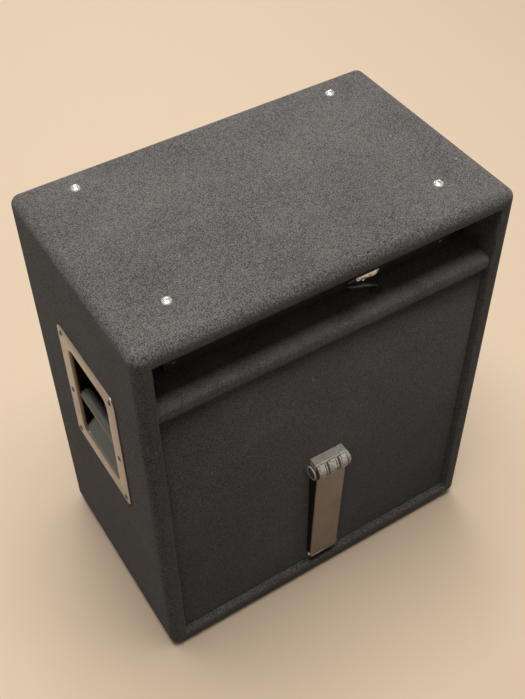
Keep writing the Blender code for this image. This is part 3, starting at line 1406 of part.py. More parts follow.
def make_cone(cabinet):
    """The cone with its voice coil former, and its dust cap: together they slide."""
    centre = (0, 0, WOOFER_Z)
    slider = empty("woofer_cone_axis", (0, BAFFLE_FRONT, WOOFER_Z), cabinet)
    neck = CONE_DEPTH
    paper = CONE_PAPER
    former = FORMER_RADIUS + FORMER_WALL

    def out(share):
        """A radius between the former and the cone's edge."""
        return FORMER_RADIUS + (CONE_RADIUS - FORMER_RADIUS) * share

    low, high = out(0.222), out(0.602)
    front = [(FORMER_RADIUS, neck), (low, neck * 0.833), (high, neck * 0.472), (CONE_RADIUS, 2 * paper)]
    rear = [(CONE_RADIUS, 3 * paper), (high, neck * 0.472 + paper * 1.15), (low, neck * 0.833 + paper * 1.25)]
    rear.append((former, neck + paper * 1.5))
    end = BASKET_DEPTH + FORMER_REACH
    bm = bmesh.new()
    coil = [(former, end), (FORMER_RADIUS, end)]
    add_turned(bm, at_depth(front + rear + coil), centre, "Y", WOOFER_FACETS, closed=True)
    bmesh.ops.translate(bm, verts=bm.verts, vec=-slider.location)
    finish("woofer_cone", bm, PAPER, slider, smooth=40)

    rim, seat = out(0.16), neck * 0.868
    sheet = CAP_SHEET
    shares = ((1, 0), (0.76, 0.54), (0.40, 0.89), (0, 1))
    dome = [(rim * out_share, seat - CAP_RISE * up) for out_share, up in shares]
    shell = [(max(radius - sheet * 0.8, 0), depth + sheet * 0.9) for radius, depth in reversed(dome)]
    bm = bmesh.new()
    add_turned(bm, at_depth(dome + shell), centre, "Y", 24, closed=True)
    bmesh.ops.translate(bm, verts=bm.verts, vec=-slider.location)
    finish("woofer_dust_cap", bm, PAPER, slider, smooth=40)


def make_suspension(cabinet):
    """The rolled surround at the cone's edge and the corrugated spider at its neck."""
    centre = (0, 0, WOOFER_Z)
    sheet = SURROUND_SHEET
    width = SURROUND_WIDTH
    ledge = -FIT - SURROUND_LEDGE - sheet * 0.78
    roll = arc((CONE_RADIUS + width * 0.3, ledge), width * SURROUND_ROLL, 0, 180, 4)
    line = [(WOOFER_HOLE + sheet / 2, ledge), (CONE_RADIUS + width * SURROUND_LAND, ledge)]
    line += [(radius, 2 * ledge - depth + sheet / 2) for radius, depth in roll]
    line.append((CONE_RADIUS + sheet, sheet * 5.5))
    bm = bmesh.new()
    add_turned(bm, at_depth(strip(line, sheet)), centre, "Y", WOOFER_FACETS, closed=True)
    finish("woofer_surround", bm, RUBBER, cabinet, smooth=60)

    start = FORMER_RADIUS + FORMER_WALL + 1.5 * SPIDER_SHEET
    rise = BASKET_DEPTH - SPIDER_RISE
    steps = 2 * SPIDER_WAVES
    reach = SPIDER_RADIUS * 0.9 - start
    drop = SPIDER_RISE * 0.34
    line = [(start, rise)]
    for i in range(1, steps):
        wave = SPIDER_SHEET * (3 if i % 2 else -0.75)
        line.append((start + reach * i / steps, rise + wave + drop * i / steps))
    seat = BASKET_DEPTH - BASKET_STEP - BASKET_SHEET - SPIDER_SHEET * 0.6
    line += [(SPIDER_RADIUS * 0.92, seat), (SPIDER_RADIUS, seat)]
    bm = bmesh.new()
    add_turned(bm, at_depth(strip(line, SPIDER_SHEET)), centre, "Y", 20, closed=True)
    finish("woofer_spider", bm, SPIDER_CLOTH, cabinet, smooth=60)


def make_horn(cabinet):
    """The horn flare with its flange, and the compression driver behind it."""
    steps = 5
    front = BAFFLE_FRONT - HORN_RISE
    depth = HORN_DEPTH

    def flare(t, wall, y):
        """One section between throat (t = 0) and mouth (t = 1)."""
        opened = (exp(HORN_FLARE * t) - 1) / (exp(HORN_FLARE) - 1)
        width = 2 * HORN_THROAT + (HORN_MOUTH[0] - 2 * HORN_THROAT) * opened + 2 * wall
        height = 2 * HORN_THROAT + (HORN_MOUTH[1] - 2 * HORN_THROAT) * opened + 2 * wall
        radius = HORN_THROAT + wall - (HORN_THROAT - HORN_CORNER) * t
        return [(u, y, v) for u, v in rounded(width, height, radius, 3, (0, HORN_Z))]

    def flange(shrink, y):
        size = (HORN_WIDTH - 2 * shrink, HORN_HEIGHT - 2 * shrink)
        return [(u, y, v) for u, v in rounded(*size, HORN_CORNER - shrink, 3, (0, HORN_Z))]

    throat_y = BAFFLE_FRONT + depth
    inside = [flare(i / steps, 0, throat_y + (front - throat_y) * i / steps) for i in range(steps + 1)]
    seat = BAFFLE_FRONT - FIT
    run = seat - throat_y
    outside = [flare(i / steps, HORN_WALL, throat_y + run * i / steps) for i in range(steps + 1)]
    edge = HORN_RISE / 4
    rings = inside + [flange(edge, front), flange(0, front + edge), flange(0, seat)] + outside[::-1]
    bm = bmesh.new()
    add_loft(bm, rings, closed=True)
    finish("horn_flare", bm, BLACK_PLASTIC, cabinet, smooth=40)

    start = throat_y + FIT
    back = start + DRIVER_DEPTH
    radius = DRIVER_RADIUS
    profile = [
        (0, start + HORN_THROAT),
        (HORN_THROAT, start + HORN_THROAT),
        (HORN_THROAT, start),
        (DRIVER_NECK, start),
        (DRIVER_NECK, start + DRIVER_NECK / 4),
        (radius, start + DRIVER_NECK / 2),
        (radius, back - DRIVER_NECK / 2),
        (radius * 0.82, back - DRIVER_NECK / 12),
        (radius * 0.69, back),
    ]
    bm = bmesh.new()
    add_turned(bm, profile, (0, 0, HORN_Z), "Y", 24)
    finish("horn_driver", bm, FERRITE, cabinet, smooth=35)


def make_ports(cabinet):
    """Two moulded port tubes."""
    bore, wall = PORT_BORE, PORT_WALL
    rise = PORT_RISE
    profile = [
        (bore, 2 * rise),
        (bore + rise, -rise * 0.7),
        (bore + 2 * rise, -rise),
        (PORT_FLANGE - rise / 3, -rise),
        (PORT_FLANGE, -rise * 0.7),
        (PORT_FLANGE, -FIT),
        (bore + wall, -FIT),
        (bore + wall, PORT_LENGTH),
        (bore, PORT_LENGTH),
    ]
    for side, sx in SIDES:
        bm = bmesh.new()
        add_turned(bm, at_depth(profile), (sx * PORT_X, 0, HORN_Z), "Y", 24, closed=True)
        finish("port_tube_" + side, bm, BLACK_PLASTIC, cabinet, smooth=35)


def make_grille(cabinet):
    """The steel grille, a shallow pan whose edges reach back to the baffle."""
    half = INNER_X - GRILLE_GAP
    low, high = FLOOR_Z + GRILLE_GAP, SHELF_BOTTOM - GRILLE_GAP
    centre = (0, (low + high) / 2)
    size = (2 * half, high - low)
    inner = [s - 2 * GRILLE_SHEET for s in size]
    sheet_back = GRILLE_FACE + GRILLE_SHEET
    edge = BAFFLE_FRONT - FIT
    corner = GRILLE_CORNER
    bend = corner - GRILLE_SHEET
    sizes = (
        (inner, bend, sheet_back),
        (inner, bend, edge),
        (size, corner, edge),
        (size, corner, GRILLE_FACE),
    )
    rings = [[(u, y, v) for u, v in rounded(*s, r, 2, centre)] for s, r, y in sizes]
    bm = bmesh.new()
    add_loft(bm, rings)
    finish("grille", bm, GRILLE_STEEL, cabinet, smooth=35)


for old in list(bpy.data.objects):
    bpy.data.objects.remove(old, do_unlink=True)

CARPET_CLOTH = material("carpet_cloth", (0.022, 0.023, 0.025), 0.95)
PLYWOOD = material("plywood", (0.45, 0.31, 0.17), 0.7)
BLACK_PLY = material("black_ply", (0.02, 0.02, 0.02), 0.75)
HANDLE_STEEL = material("handle_steel", (0.05, 0.046, 0.042), 0.35, 0.6)
BLACK_STEEL = material("black_steel", (0.03, 0.03, 0.03), 0.45, 0.5)
LEG_STEEL = material("leg_steel", (0.05, 0.045, 0.04), 0.38, 0.6)
NICKEL = material("nickel", (0.75, 0.72, 0.68), 0.25, 1.0)
STEEL = material("plain_steel", (0.5, 0.5, 0.5), 0.4, 1.0)
ZINC = material("zinc_steel", (0.6, 0.6, 0.58), 0.35, 1.0)
CHASSIS_STEEL = material("chassis_steel", (0.10, 0.10, 0.10), 0.5, 0.4)
PANEL_PAINT = material("panel_paint", (0.03, 0.03, 0.032), 0.4)
KNOB_PLASTIC = material("knob_plastic", (0.02, 0.02, 0.02), 0.4)
BLACK_PLASTIC = material("black_plastic", (0.02, 0.02, 0.02), 0.5)
RED_LENS = material("red_lens", (0.5, 0.02, 0.02), 0.2)
BOARD_GREEN = material("board_green", (0.02, 0.16, 0.06), 0.45)
TAPE = material("yellow_tape", (0.55, 0.42, 0.08), 0.5)
ALUMINIUM = material("aluminium", (0.6, 0.6, 0.62), 0.35, 1.0)
BRASS = material("brass", (0.75, 0.56, 0.28), 0.28, 1.0)
RUBBER = material("rubber", (0.04, 0.038, 0.036), 0.85)
FERRITE = material("ferrite", (0.06, 0.06, 0.065), 0.55)
PAPER = material("paper_cone", (0.03, 0.03, 0.03), 0.9)
SPIDER_CLOTH = material("spider_cloth", (0.35, 0.22, 0.08), 0.9)
GRILLE_STEEL = material("grille_steel", (0.02, 0.02, 0.02), 0.45, 0.4)

cabinet_body = empty("cabinet")
leg_pivot = empty("leg_pivot", (0, PIN_Y, PIN_HEIGHT), cabinet_body, -radians(LEG_LEAN))

make_cabinet(cabinet_body)
make_feet(cabinet_body)
make_shelf(cabinet_body)
make_rear_panel(cabinet_body)
make_baffle(cabinet_body)
make_cleats(cabinet_body)
make_top_screws(cabinet_body)
make_handles(cabinet_body)
make_bracket(cabinet_body)
make_leg(leg_pivot, cabinet_body)
make_chassis(cabinet_body)
make_control_panel(cabinet_body)
make_control_board(cabinet_body)
make_knobs_and_jacks(cabinet_body)
make_switches(cabinet_body)
make_electronics(cabinet_body)
make_inlet(cabinet_body)
make_speaker_lead(cabinet_body)
make_basket(cabinet_body)
make_motor(cabinet_body)
make_cone(cabinet_body)
make_suspension(cabinet_body)
make_horn(cabinet_body)
make_ports(cabinet_body)
make_grille(cabinet_body)
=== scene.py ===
"""Looks of the bass combo amplifier: carpet, painted steel, rubber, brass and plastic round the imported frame."""

import json
import random
from math import acos, asin, atan2, copysign, cos, degrees, exp, pi, radians, sin, sqrt

import bmesh
import bpy
from mathutils import Matrix, Vector
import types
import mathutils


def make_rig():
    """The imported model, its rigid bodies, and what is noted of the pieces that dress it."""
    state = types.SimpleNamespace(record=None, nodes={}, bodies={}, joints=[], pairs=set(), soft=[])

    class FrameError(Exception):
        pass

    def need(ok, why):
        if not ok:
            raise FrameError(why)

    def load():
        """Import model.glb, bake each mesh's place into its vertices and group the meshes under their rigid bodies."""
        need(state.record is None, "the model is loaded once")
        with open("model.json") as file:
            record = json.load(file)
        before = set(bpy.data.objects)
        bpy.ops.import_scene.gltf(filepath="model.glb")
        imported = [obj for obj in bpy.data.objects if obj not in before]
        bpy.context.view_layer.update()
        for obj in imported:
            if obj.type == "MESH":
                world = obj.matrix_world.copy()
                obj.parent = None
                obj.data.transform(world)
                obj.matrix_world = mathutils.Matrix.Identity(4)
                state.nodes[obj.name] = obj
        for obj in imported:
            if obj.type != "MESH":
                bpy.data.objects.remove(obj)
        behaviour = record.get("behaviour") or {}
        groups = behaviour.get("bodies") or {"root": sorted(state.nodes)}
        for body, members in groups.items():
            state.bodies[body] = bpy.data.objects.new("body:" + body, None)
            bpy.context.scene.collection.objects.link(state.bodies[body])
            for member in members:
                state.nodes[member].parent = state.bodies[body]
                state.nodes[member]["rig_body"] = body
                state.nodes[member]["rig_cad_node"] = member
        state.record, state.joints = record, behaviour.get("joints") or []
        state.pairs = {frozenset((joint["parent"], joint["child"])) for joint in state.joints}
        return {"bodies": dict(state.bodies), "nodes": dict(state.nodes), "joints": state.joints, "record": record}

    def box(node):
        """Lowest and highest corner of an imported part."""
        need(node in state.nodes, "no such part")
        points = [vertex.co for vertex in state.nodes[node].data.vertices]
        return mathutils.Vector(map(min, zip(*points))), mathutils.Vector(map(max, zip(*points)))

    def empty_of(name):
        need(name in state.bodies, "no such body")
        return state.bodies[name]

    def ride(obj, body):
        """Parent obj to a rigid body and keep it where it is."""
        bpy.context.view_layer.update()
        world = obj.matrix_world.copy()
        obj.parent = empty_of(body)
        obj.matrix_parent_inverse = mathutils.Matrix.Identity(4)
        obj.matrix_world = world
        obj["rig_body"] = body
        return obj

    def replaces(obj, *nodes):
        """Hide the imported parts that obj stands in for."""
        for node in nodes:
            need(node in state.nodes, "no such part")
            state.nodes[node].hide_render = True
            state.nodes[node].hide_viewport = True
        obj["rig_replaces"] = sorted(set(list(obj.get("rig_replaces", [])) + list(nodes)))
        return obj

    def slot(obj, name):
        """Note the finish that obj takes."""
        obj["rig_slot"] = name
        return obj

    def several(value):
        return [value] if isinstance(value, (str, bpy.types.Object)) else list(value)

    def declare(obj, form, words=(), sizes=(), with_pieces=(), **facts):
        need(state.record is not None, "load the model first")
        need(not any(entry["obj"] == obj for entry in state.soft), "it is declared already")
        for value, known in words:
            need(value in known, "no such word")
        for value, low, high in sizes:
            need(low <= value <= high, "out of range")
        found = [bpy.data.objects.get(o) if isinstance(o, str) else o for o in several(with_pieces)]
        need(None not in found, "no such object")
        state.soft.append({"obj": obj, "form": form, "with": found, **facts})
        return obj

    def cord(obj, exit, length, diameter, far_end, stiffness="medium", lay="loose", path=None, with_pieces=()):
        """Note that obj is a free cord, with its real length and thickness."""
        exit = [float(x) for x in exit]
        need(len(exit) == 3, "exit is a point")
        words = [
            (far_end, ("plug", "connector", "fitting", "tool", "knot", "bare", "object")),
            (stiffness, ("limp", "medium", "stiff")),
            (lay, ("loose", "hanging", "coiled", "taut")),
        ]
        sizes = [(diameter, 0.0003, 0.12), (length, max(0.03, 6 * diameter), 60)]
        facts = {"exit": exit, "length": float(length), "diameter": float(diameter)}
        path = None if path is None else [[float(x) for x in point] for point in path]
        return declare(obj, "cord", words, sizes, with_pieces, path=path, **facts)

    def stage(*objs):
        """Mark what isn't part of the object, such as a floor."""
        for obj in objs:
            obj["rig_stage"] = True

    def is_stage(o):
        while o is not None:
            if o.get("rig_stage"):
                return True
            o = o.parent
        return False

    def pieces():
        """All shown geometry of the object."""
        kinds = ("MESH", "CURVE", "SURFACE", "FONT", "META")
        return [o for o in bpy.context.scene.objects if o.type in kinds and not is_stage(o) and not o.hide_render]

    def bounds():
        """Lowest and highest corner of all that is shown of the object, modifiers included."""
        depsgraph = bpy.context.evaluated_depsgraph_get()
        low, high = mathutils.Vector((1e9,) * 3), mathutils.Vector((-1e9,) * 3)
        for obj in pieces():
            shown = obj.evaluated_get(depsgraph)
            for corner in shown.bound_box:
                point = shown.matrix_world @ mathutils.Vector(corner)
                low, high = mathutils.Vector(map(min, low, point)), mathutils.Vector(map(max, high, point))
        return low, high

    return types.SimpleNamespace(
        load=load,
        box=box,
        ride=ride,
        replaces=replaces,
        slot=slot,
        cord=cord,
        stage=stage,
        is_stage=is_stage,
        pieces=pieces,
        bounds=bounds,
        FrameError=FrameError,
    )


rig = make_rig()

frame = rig.load()
cad_box = [list(corner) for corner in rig.bounds()]
scene = bpy.context.scene

# Sizes shared with the CAD, in metres
WIDTH, DEPTH, HEIGHT = 0.560, 0.352, 0.662
BASE_Z = 0.008
TOP_Z = BASE_Z + HEIGHT
EDGE = 0.014
SHELL = 0.0246
REAR_Y = DEPTH / 2
CARPET = 0.003
LIP = 0.062
HANDLE_Y, HANDLE_Z = 0.0135, 0.413
HANDLE_PLATE = (0.170, 0.228)
HANDLE_OPENING = (0.111, 0.172)
HANDLE_LIP = 0.004
BAR_DROP = 0.012
FACE_Y = -0.156
CONTROL_Z = 0.6044
KNOB_NAMES = ("gain", "bass", "mid_level", "mid_frequency", "treble", "blend", "master")
KNOB_XS = [-0.148 + 0.039 * i for i in range(7)]
PIN = Vector((0, 0.1714, 0.057))
LEG_LEAN = radians(2.33)
LEG_FACE = 0.0048  # from the pin to the channel's outside
FOOT_TOP = 0.2490  # the leg's rubber foot, over the pin
NOSE_RADIUS = 0.0160
NOSE_Y, NOSE_Z = LEG_FACE + 0.0073 - NOSE_RADIUS, FOOT_TOP - NOSE_RADIUS
CHEEK_Z, CHEEK_RADIUS = NOSE_Z - 0.0045, 0.0116
WOOFER_Z = 0.236
HORN_Z = 0.480
BAFFLE_Y = -0.150
CHASSIS_BACK = 0.124
JACK_X, JACK_Z = -0.086, 0.594
BARREL_Y = 0.13475  # the middle of the plug's barrel
LEAD = 0.0044  # the speaker lead's thickness
SIDES = (("left", -1), ("right", 1))
CORNERS = [end + "_" + side for side, _ in SIDES for end in ("front", "back")]
LEG_SPACE = Matrix.Translation(PIN) @ Matrix.Rotation(-LEG_LEAN, 4, "X")  # from the leg's upright drawing to its place


# Mesh making


def piece(name, bm, coat, slot=None, body="cabinet", smooth=40, replaces=None, matrix=None):
    """A finished piece of the object, riding on a body."""
    bmesh.ops.remove_doubles(bm, verts=bm.verts, dist=1e-6)
    bmesh.ops.recalc_face_normals(bm, faces=bm.faces)
    if matrix is not None:
        bmesh.ops.transform(bm, matrix=matrix, verts=bm.verts)
    mesh = bpy.data.meshes.new(name)
    bm.to_mesh(mesh)
    bm.free()
    if smooth:
        mesh.shade_smooth()
        mesh.set_sharp_from_angle(angle=radians(smooth))
    made = placed(name, mesh)
    mesh.materials.append(coat)
    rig.ride(made, body)
    if slot:
        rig.slot(made, slot)
    if replaces:
        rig.replaces(made, replaces)
    return made


def placed(name, data):
    """A new object in the scene."""
    made = bpy.data.objects.new(name, data)
    scene.collection.objects.link(made)
    return made


def across(axis, u, v, along):
    """A point from two measures across an axis and one along it."""
    return {"X": (along, u, v), "Y": (u, along, v), "Z": (u, v, along)}[axis]


def bridge(bm, a, b):
    """Faces between two loops of equal counts."""
    for i in range(len(a)):
        j = (i + 1) % len(a)
        bm.faces.new((a[i], a[j], b[j], b[i]))


def loft(bm, rings, closed=False):
    """Skins loops of equal counts."""
    loops = [[bm.verts.new(p) for p in ring] for ring in rings]
    for a, b in zip(loops, loops[1:] + loops[:1] if closed else loops[1:]):
        bridge(bm, a, b)
    if not closed:
        bm.faces.new(loops[0])
        bm.faces.new(loops[-1])


def turned(bm, profile, centre, axis, segments, closed=False):
    """Turns (radius, height) points about an axis."""
    middle = Vector(centre)
    loops = []
    for radius, height in profile:
        turns = angles(segments) if radius else (0,)
        ring = [across(axis, radius * cos(a), radius * sin(a), height) for a in turns]
        loops.append([bm.verts.new(middle + Vector(p)) for p in ring])
    for a, b in zip(loops, loops[1:] + loops[:1] if closed else loops[1:]):
        for i in range(segments):
            j = (i + 1) % segments
            corners = list(dict.fromkeys((a[i % len(a)], a[j % len(a)], b[j % len(b)], b[i % len(b)])))
            if len(corners) > 2:
                bm.faces.new(corners)
    if not closed:
        for end in (loops[0], loops[-1]):
            if len(end) > 1:
                bm.faces.new(end)


def lofted(name, rings, coat, closed=False, **how):
    """A piece skinned over loops."""
    bm = bmesh.new()
    loft(bm, rings, closed)
    return piece(name, bm, coat, **how)


def turning(name, profile, centre, axis, segments, coat, closed=False, **how):
    """A piece turned about an axis."""
    bm = bmesh.new()
    turned(bm, profile, centre, axis, segments, closed)
    return piece(name, bm, coat, **how)


def angles(count, offset=0.5):
    """Even turns round a circle."""
    return [2 * pi * (i + offset) / count for i in range(count)]


def quarter(steps):
    """Turns from 0 to a right angle."""
    return [pi / 2 * i / steps for i in range(steps + 1)]


def arc(centre, radius, start, end, steps):
    """Points of an arc, with its angles in degrees."""
    turns = [radians(start + (end - start) * i / steps) for i in range(steps + 1)]
    return [(centre[0] + radius * cos(a), centre[1] + radius * sin(a)) for a in turns]


def mm(shape, start=0.0):
    """Points given in millimetres, the second measure from a start in metres."""
    return [(u / 1000, start + v / 1000) for u, v in shape]


def upright(outline, y):
    """An outline stood up at a depth."""
    return [(u, y, v) for u, v in outline]


def prism(bm, outline, axis, low, high):
    """Extrudes an outline of (u, v) points along an axis."""
    loft(bm, [[across(axis, u, v, along) for u, v in outline] for along in (low, high)])


def block(bm, low, high, edge, segments=2):
    """A box between two corners, with rounded edges."""
    size = [b - a for a, b in zip(low, high)]
    middle = [(a + b) / 2 for a, b in zip(low, high)]
    made = bmesh.ops.create_cube(bm, size=1.0, matrix=Matrix.Translation(middle) @ Matrix.Diagonal((*size, 1)))
    edges = list(dict.fromkeys(e for v in made["verts"] for e in v.link_edges))
    bmesh.ops.bevel(bm, geom=edges, offset=edge, segments=segments, profile=0.5, affect="EDGES")


def rounded(width, height, radius, steps=6, centre=(0, 0)):
    """The points of a rectangle with round corners."""
    points = []
    for corner, (sx, sy) in enumerate(((1, 1), (1, -1), (-1, -1), (-1, 1))):
        cx, cy = sx * (width / 2 - radius), sy * (height / 2 - radius)
        for i in range(steps + 1):
            a = pi / 2 - corner * pi / 2 - i * pi / 2 / steps
            points.append((centre[0] + cx + radius * cos(a), centre[1] + cy + radius * sin(a)))
    return points


def settle(target):
    """Applies a piece's modifiers to its mesh."""
    made = bpy.data.meshes.new_from_object(target.evaluated_get(bpy.context.evaluated_depsgraph_get()))
    old = target.data
    target.modifiers.clear()
    target.data = made
    bpy.data.meshes.remove(old)


def cut(target, bm):
    """Cuts mesh work out of a piece at once."""
    bmesh.ops.recalc_face_normals(bm, faces=bm.faces)
    mesh = bpy.data.meshes.new("guide")
    bm.to_mesh(mesh)
    bm.free()
    guide = placed("guide", mesh)
    step = target.modifiers.new("guide", "BOOLEAN")
    step.object = guide
    step.solver = "EXACT"
    settle(target)
    bpy.data.objects.remove(guide, do_unlink=True)
    bpy.data.meshes.remove(mesh)


def soften(target, width, segments=2, angle=35):
    """Rounds a piece's edges a little and keeps its flats flat."""
    step = target.modifiers.new("edge", "BEVEL")
    step.width = width
    step.segments = segments
    step.limit_method = "ANGLE"
    step.angle_limit = radians(angle)
    step.harden_normals = True
    settle(target)


def dressed(cad, coat, width, slot):
    """A copy of a CAD node with softened edges, which stands for the node."""
    source = frame["nodes"][cad]
    bm = bmesh.new()
    bm.from_mesh(source.data)
    bmesh.ops.remove_doubles(bm, verts=bm.verts, dist=1e-5)
    bmesh.ops.dissolve_limit(bm, angle_limit=radians(1), verts=bm.verts, edges=bm.edges)
    made = piece(cad + "_dressed", bm, coat, slot, source["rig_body"], replaces=cad)
    soften(made, width)
    return made


def screw_head(bm, place, axis, out, radius, height):
    """A domed head with a cross recess, standing out along an axis."""
    count, arms, arm_width, recess = 24, 4, 0.28, 0.45
    rim = radius * 0.52

    def loop(radii, rise):
        """A loop round the head's axis."""
        return [across(axis, r * cos(a), r * sin(a), out * rise) for r, a in zip(radii, angles(count, 0))]

    star = []
    for a in angles(count, 0):
        arm = abs(((a + pi / arms) % (2 * pi / arms)) - pi / arms)
        star.append(rim * (1.0 if arm < arm_width else 0.34))
    rings = [loop([r * 0.7 for r in star], height * (1 - 2 * recess)), loop(star, height * 0.90)]
    dome = [(radius * sin(a), height * cos(a)) for a in quarter(4)]
    rim_rise = height * sqrt(max(1 - (rim / radius) ** 2, 0))
    for r, rise in ((rim, rim_rise), *[point for point in dome if point[0] > rim], (radius, -height * 0.3)):
        rings.append(loop([r] * count, rise))
    loft(bm, [[Vector(place) + Vector(p) for p in ring] for ring in rings])


def screws(name, spots, axis, out, radius, height, coat=None, slot="zinc_steel"):
    """Screws of one size, in one piece."""
    bm = bmesh.new()
    for spot in spots:
        screw_head(bm, spot, axis, out, radius, height)
    piece(name, bm, coat or BLACK_SCREW, slot)


# Shader work


class Value:
    """A shader socket that takes plain arithmetic."""

    def __init__(self, socket):
        self.socket, self.tree = socket, socket.id_data

    def math(self, operation, other=0.0, clamp=False):
        """A Math node's result."""
        return node(self.tree, "Math", {0: self, 1: other}, operation=operation, use_clamp=clamp)[0]

    def __add__(self, other):
        return self.math("ADD", other)

    def __sub__(self, other):
        return self.math("SUBTRACT", other)

    def __mul__(self, other):
        return self.math("MULTIPLY", other)

    def __abs__(self):
        return self.math("ABSOLUTE")

    def spread(self, low, high, to_low=0.0, to_high=1.0):
        """The value's range set to another range, with its ends held."""
        values = {"Value": self, "From Min": low, "From Max": high, "To Min": to_low, "To Max": to_high}
        return node(self.tree, "MapRange", values)[0]

    def near(self, place, low, high):
        """1 at a value, fading to 0 between two distances from it."""
        return abs(self - place).spread(low, high, 1.0, 0.0)

    def noise(self, scale, detail=3.0, rough=0.5, output="Fac"):
        """Noise at this point."""
        values = {"Vector": self, "Scale": scale, "Detail": detail, "Roughness": rough}
        return node(self.tree, "TexNoise", values)[output]

    def vector_math(self, operation, other, output=0):
        """A Vector Math node's result."""
        return node(self.tree, "VectorMath", {0: self, 1: other}, operation=operation)[output]

    def parts(self):
        """Its X, Y and Z."""
        return node(self.tree, "SeparateXYZ", {"Vector": self})


def node(tree, kind, values=None, **settings):
    """The outputs of a shader node with its settings and its input values or links."""
    made = tree.nodes.new("ShaderNode" + kind)
    for key, value in settings.items():
        setattr(made, key, value)
    for key, value in (values or {}).items():
        if isinstance(value, Value):
            tree.links.new(value.socket, made.inputs[key])
        else:
            made.inputs[key].default_value = value
    return {key: Value(out) for index, out in enumerate(made.outputs) for key in (index, out.name)}


def place_of(tree, stretch=(1, 1, 1)):
    """The point on the object, stretched if asked."""
    return node(tree, "Mapping", {"Vector": node(tree, "TexCoord")["Object"], "Scale": stretch})[0]


def normal_of(tree):
    """The X, Y and Z of the way that the surface faces."""
    return node(tree, "NewGeometry")["Normal"].parts()


def shared(name, inputs, outputs, make):
    """A shader group, built once: make works out its outputs from its inputs."""
    tree = bpy.data.node_groups.new(name, "ShaderNodeTree")
    for title, value in inputs.items():
        socket = tree.interface.new_socket(title, in_out="INPUT", socket_type="NodeSocketFloat")
        socket.default_value = value
    for title in outputs:
        tree.interface.new_socket(title, in_out="OUTPUT", socket_type="NodeSocketFloat")
    given = tree.nodes.new("NodeGroupInput").outputs
    result = tree.nodes.new("NodeGroupOutput").inputs
    for title, value in zip(outputs, make(tree, *[Value(given[title]) for title in inputs])):
        tree.links.new(value.socket, result[title])
    return tree


def felted_pile(tree, scale, patch_scale):
    """Short felted pile: curled fibres, salt and pepper fleck and broad brushed patches."""
    point = place_of(tree)
    fleck = point.noise(scale, 3.0, 0.7).spread(0.41, 0.62)
    clump = point.noise(scale * 0.28, 2.0, 0.5).spread(0.34, 0.68)
    patch = point.noise(patch_scale, 3.0, 0.55).spread(0.34, 0.66)
    fibre = point.noise(scale * 0.6, 2.0, 0.6).near(0.5, 0.0, 0.035)
    tone = (fleck * 0.62 + fibre * 0.26 + clump * 0.14).math("ADD", patch * 0.12, True)
    return tone, fleck + fibre * 0.5


def lint_specks(tree, scale, share, size):
    """Sparse specks of lint: a few cells of a pattern have a speck, drawn out along a random way."""
    point = place_of(tree)
    wobble = point.noise(40.0, 2.0, output="Color").vector_math("SUBTRACT", (0.5, 0.5, 0.5))
    bent = point.vector_math("ADD", wobble.vector_math("MULTIPLY", (0.02, 0.02, 0.02)))
    cell = node(tree, "TexVoronoi", {"Vector": bent, "Scale": scale})
    chosen = node(tree, "SeparateColor", {"Color": cell["Color"]})[0].math("LESS_THAN", share)
    return (chosen * cell["Distance"].math("LESS_THAN", size),)


def settled_dust(tree, amount, scale):
    """Settled dust: more where the surface faces up, broken by noise."""
    up = normal_of(tree)["Z"].spread(-0.6, 1.0, 0.25, 1.0)
    broken = place_of(tree).noise(scale, 5.0, 0.65).spread(0.32, 0.68)
    return ((up * broken).math("MULTIPLY", amount, True),)


def scuff_marks(tree, scratch_scale, patch_scale):
    """Handling marks on paint and metal: fine scratches in two directions and rubbed patches."""
    lines = []
    for stretch in ((1.0, 1.0, 22.0), (20.0, 3.0, 1.0)):
        lines.append(place_of(tree, stretch).noise(scratch_scale, 2.0, 0.6).spread(0.66, 0.74))
    return lines[0].math("MAXIMUM", lines[1]), place_of(tree).noise(patch_scale, 6.0, 0.7).spread(0.45, 0.62)


def fine_grain(tree, scale):
    """The fine skin of powder coat, moulded plastic or rubber."""
    point = place_of(tree)
    return point.noise(scale, 2.0, 0.5), point.noise(scale * 0.03, 4.0, 0.6).spread(0.3, 0.7)


PILE = shared("felted pile", {"Fleck Scale": 540.0, "Patch Scale": 9.0}, ("Tone", "Height"), felted_pile)
LINT = shared("lint", {"Speck Scale": 60.0, "Share": 0.1, "Speck Size": 0.08}, ("Mask",), lint_specks)
DUST = shared("dust", {"Amount": 0.5, "Scale": 60.0}, ("Mask",), settled_dust)
SCUFF = shared("scuffs", {"Scratch Scale": 30.0, "Patch Scale": 18.0}, ("Scratch", "Rubbed"), scuff_marks)
GRAIN = shared("fine grain", {"Grain Scale": 900.0}, ("Height", "Tone"), fine_grain)


